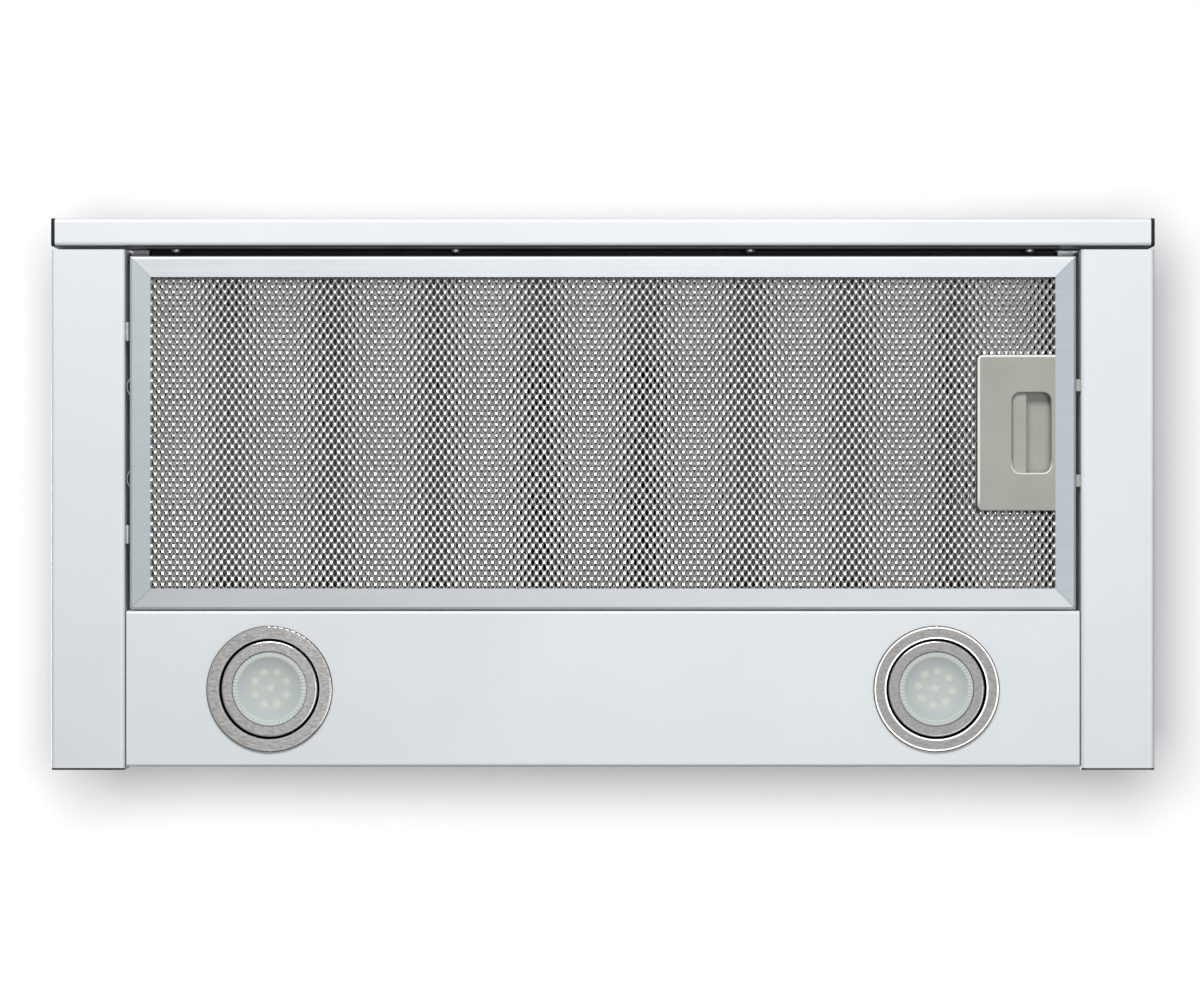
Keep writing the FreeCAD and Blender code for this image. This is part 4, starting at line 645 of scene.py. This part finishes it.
FINISHES = {
    # white_enamel: a near-black strip low on the rails' rear ends is painted shade.
    "white_enamel": enamelled("white_enamel", shade(230, 235, 237), shade(226, 231, 234),
                              shade(16, 17, 18), RAIL_REAR - 1.0 * MM, CAD_BOX[0].z + 2.0 * MM),
    "galvanised_sheet": galvanised(),
    "zinc_steel": cast_metal("zinc_steel", shade(206, 209, 210), shade(160, 165, 168), 0.9, 0.28),
    "motor_steel": cast_metal("motor_steel", shade(112, 118, 124), shade(74, 79, 85), 0.7, 0.38),
    "satin_aluminium": brushed("satin_aluminium", shade(228, 232, 235), shade(217, 221, 225)),
    "mesh_aluminium": strand_foil("mesh_aluminium", shade(196, 195, 193), shade(226, 225, 223), 0.88, 0.15,
                                  face_foil),
    "brushed_ring": turned_ring(),
    "black_metal": cast_metal("black_metal", shade(34, 35, 37), shade(20, 21, 23), 0.3, 0.5),
    "black_plastic": moulded("black_plastic", shade(14, 14, 15), shade(8, 8, 9), 0.6),
    "flap_plastic": moulded("flap_plastic", shade(74, 77, 80), shade(60, 63, 66), 0.5),
    "impeller_plastic": moulded("impeller_plastic", shade(226, 226, 218), shade(208, 209, 201), 0.42),
    "latch_plastic": moulded("latch_plastic", shade(166, 168, 158), shade(157, 159, 149), 0.4, gloss=0.4),
    "grey_plastic": moulded("grey_plastic", shade(150, 154, 156), shade(132, 136, 139), 0.48),
    "white_plastic": moulded("white_plastic", shade(236, 238, 238), shade(224, 227, 228), 0.36),
    "frosted_glass": frosted(),
    "lamp_board": circuit_board(),
}
ALONG_Y = (0.0, 0.0, math.pi / 2)
OWN_FINISHES = {
    "latch_plate": latch_face(),
    # fascia: its back face, behind the given place, is a mid-grey tone: painted shade for the shadowed gap
    # behind it.
    "fascia": enamelled("fascia_enamel", shade(232, 236, 238), shade(228, 232, 235),
                        shade(92, 97, 100), FASCIA_BACK - 0.5 * MM),
    # slide_tray: a dark steel finish in place of its slot's finish, painted shade for the dark gap behind
    # the fascia.
    "slide_tray": cast_metal("tray_steel_painted_shade", shade(60, 63, 66), shade(40, 43, 46), 0.4, 0.5),
    # The rear, left and right filter bars are darker copies of the front bar's aluminium, the right darkest:
    # painted shade.
    "filter_bar_rear": brushed("bar_rear_painted_shade", shade(214, 217, 220), shade(204, 208, 211)),
    "filter_bar_left": brushed("bar_left_painted_shade", shade(206, 213, 216), shade(196, 204, 207), ALONG_Y),
    "filter_bar_right": brushed("bar_right_painted_shade", shade(186, 194, 198), shade(174, 182, 186), ALONG_Y),
}
for entry in frame["record"]["subparts"]:
    finish = OWN_FINISHES.get(entry["node"], FINISHES[entry["material_slot"]])
    for place in frame["nodes"][entry["node"]].material_slots:
        place.material = finish

glow = phosphor()
for sign, lamp_body, clock in ((-1, "left_lamp", 22.5), (1, "right_lamp", 8.0)):
    make_lens(sign, lamp_body, "ribbed_lens_" + lamp_body[:-5], FINISHES["frosted_glass"])
    make_sources(sign, lamp_body, math.radians(clock), glow)

foil_finish = FINISHES["mesh_aluminium"]
backing_finish = strand_foil("backing_aluminium", shade(206, 206, 204), shade(230, 229, 227), 0.3, 0.4)
finished(filter_foil(face_foil, range(-31, 0)), "grease_mesh_front", foil_finish,
         "filter", ["filter_mesh"])
finished(filter_foil(face_foil, range(0, 32)), "grease_mesh_rear", foil_finish,
         "filter")
finished(filter_foil(back_foil, range(-31, 0)), "backing_mesh_front", backing_finish,
         "filter")
finished(filter_foil(back_foil, range(0, 32)), "backing_mesh_rear", backing_finish,
         "filter")

make_latch_springs()

slide_foil = Foil(7.0 * MM, 5.0 * MM, 3.0 * MM, 0.3 * MM, math.radians(30), (SLIDE_LOW.z + SLIDE_HIGH.z) / 2)
slide_rows = bmesh.new()
slide_foil.rows(slide_rows, SLIDE_LOW.x + 0.2 * MM, SLIDE_HIGH.x - 0.2 * MM, range(-18, 19),
                (SLIDE_LOW.y + SLIDE_HIGH.y) / 2)
finished(slide_rows, "slide_out_mesh", backing_finish, "slide_out", ["slide_filter_mesh"])


# ---- Stage, light and camera ----
def one_sided(name, z, faces_up, color):
    """A wide pale plane that is seen only from the side it faces, and shades nothing."""
    bm = bmesh.new()
    bmesh.ops.create_grid(bm, x_segments=1, y_segments=1, size=STAGE_SIZE)
    if not faces_up:
        bmesh.ops.reverse_faces(bm, faces=bm.faces)
    bmesh.ops.translate(bm, verts=bm.verts, vec=(0, 0, z))
    mesh = bpy.data.meshes.new(name)
    bm.to_mesh(mesh)
    bm.free()
    paint = Paint(name, Roughness=0.9, Specular_IOR_Level=0.1)
    paint.set("Base Color", color)
    hidden = paint.node("ShaderNodeNewGeometry", output="Backfacing")
    clear = paint.node("ShaderNodeBsdfTransparent")
    solid = Value(paint, paint.shader.outputs[0])
    blend = paint.node("ShaderNodeMixShader", None, {0: hidden, 1: solid, 2: clear})
    output = next(node for node in paint.tree.nodes if node.type == "OUTPUT_MATERIAL")
    paint.fill(output.inputs["Surface"], blend)
    mesh.materials.append(paint.material)
    plane = bpy.data.objects.new(name, mesh)
    plane.visible_shadow = False
    plane.visible_diffuse = False
    plane.visible_glossy = False
    bpy.context.scene.collection.objects.link(plane)
    return plane


def softbox(name, place, target, size, watts, receivers):
    """An area light aimed at a point, unseen by the camera, that lights only its receivers."""
    light = bpy.data.lights.new(name, "AREA")
    light.shape = "RECTANGLE"
    light.size, light.size_y = size
    light.energy = watts
    lamp = bpy.data.objects.new(name, light)
    lamp.location = place
    lamp.rotation_euler = (Vector(target) - Vector(place)).to_track_quat("-Z", "Y").to_euler()
    lamp.visible_camera = False
    lamp.light_linking.receiver_collection = receivers
    bpy.context.scene.collection.objects.link(lamp)


STAGE_SIZE = 12.0
backdrop = one_sided("backdrop", CAD_BOX[1].z + 1 * MM, False, shade(250, 250, 250))
one_sided("floor", CAD_BOX[0].z - 1 * MM, True, shade(238, 239, 240))
only_backdrop = bpy.data.collections.new("only_backdrop")
only_backdrop.objects.link(backdrop)
all_but_backdrop = bpy.data.collections.new("all_but_backdrop")
all_but_backdrop.objects.link(backdrop)
all_but_backdrop.collection_objects[0].light_linking.link_state = "EXCLUDE"
softbox("backdrop_light", (-0.06, -0.09, -2.0), (0, 0, 0), (0.62, 0.62), 46, only_backdrop)
softbox("key_light", (-0.15, -1.05, -1.15), (0, 0, 0), (1.0, 0.45), 21, all_but_backdrop)
softbox("fill_light", (0.5, 0.3, -2.2), (0, 0, 0), (1.2, 1.2), 10, all_but_backdrop)
softbox("top_light", (-1.3, 0.5, 2.1), (0, 0, 0), (1.6, 1.6), 46, all_but_backdrop)

world = bpy.data.worlds.new("studio")
world.use_nodes = True
world.node_tree.nodes["Background"].inputs["Color"].default_value = shade(238, 242, 246) + (1.0,)
world.node_tree.nodes["Background"].inputs["Strength"].default_value = 0.22
bpy.context.scene.world = world
bpy.context.scene.view_settings.view_transform = "Standard"

lens_data = bpy.data.cameras.new("camera")
lens_data.lens = 110
lens_data.sensor_width = 36
camera = bpy.data.objects.new("camera", lens_data)
camera.location = (-1.6 * MM, 3.3 * MM, CAD_BOX[0].z - 1.9925)
camera.rotation_euler = (math.pi, 0, 0)
bpy.context.scene.collection.objects.link(camera)
bpy.context.scene.camera = camera
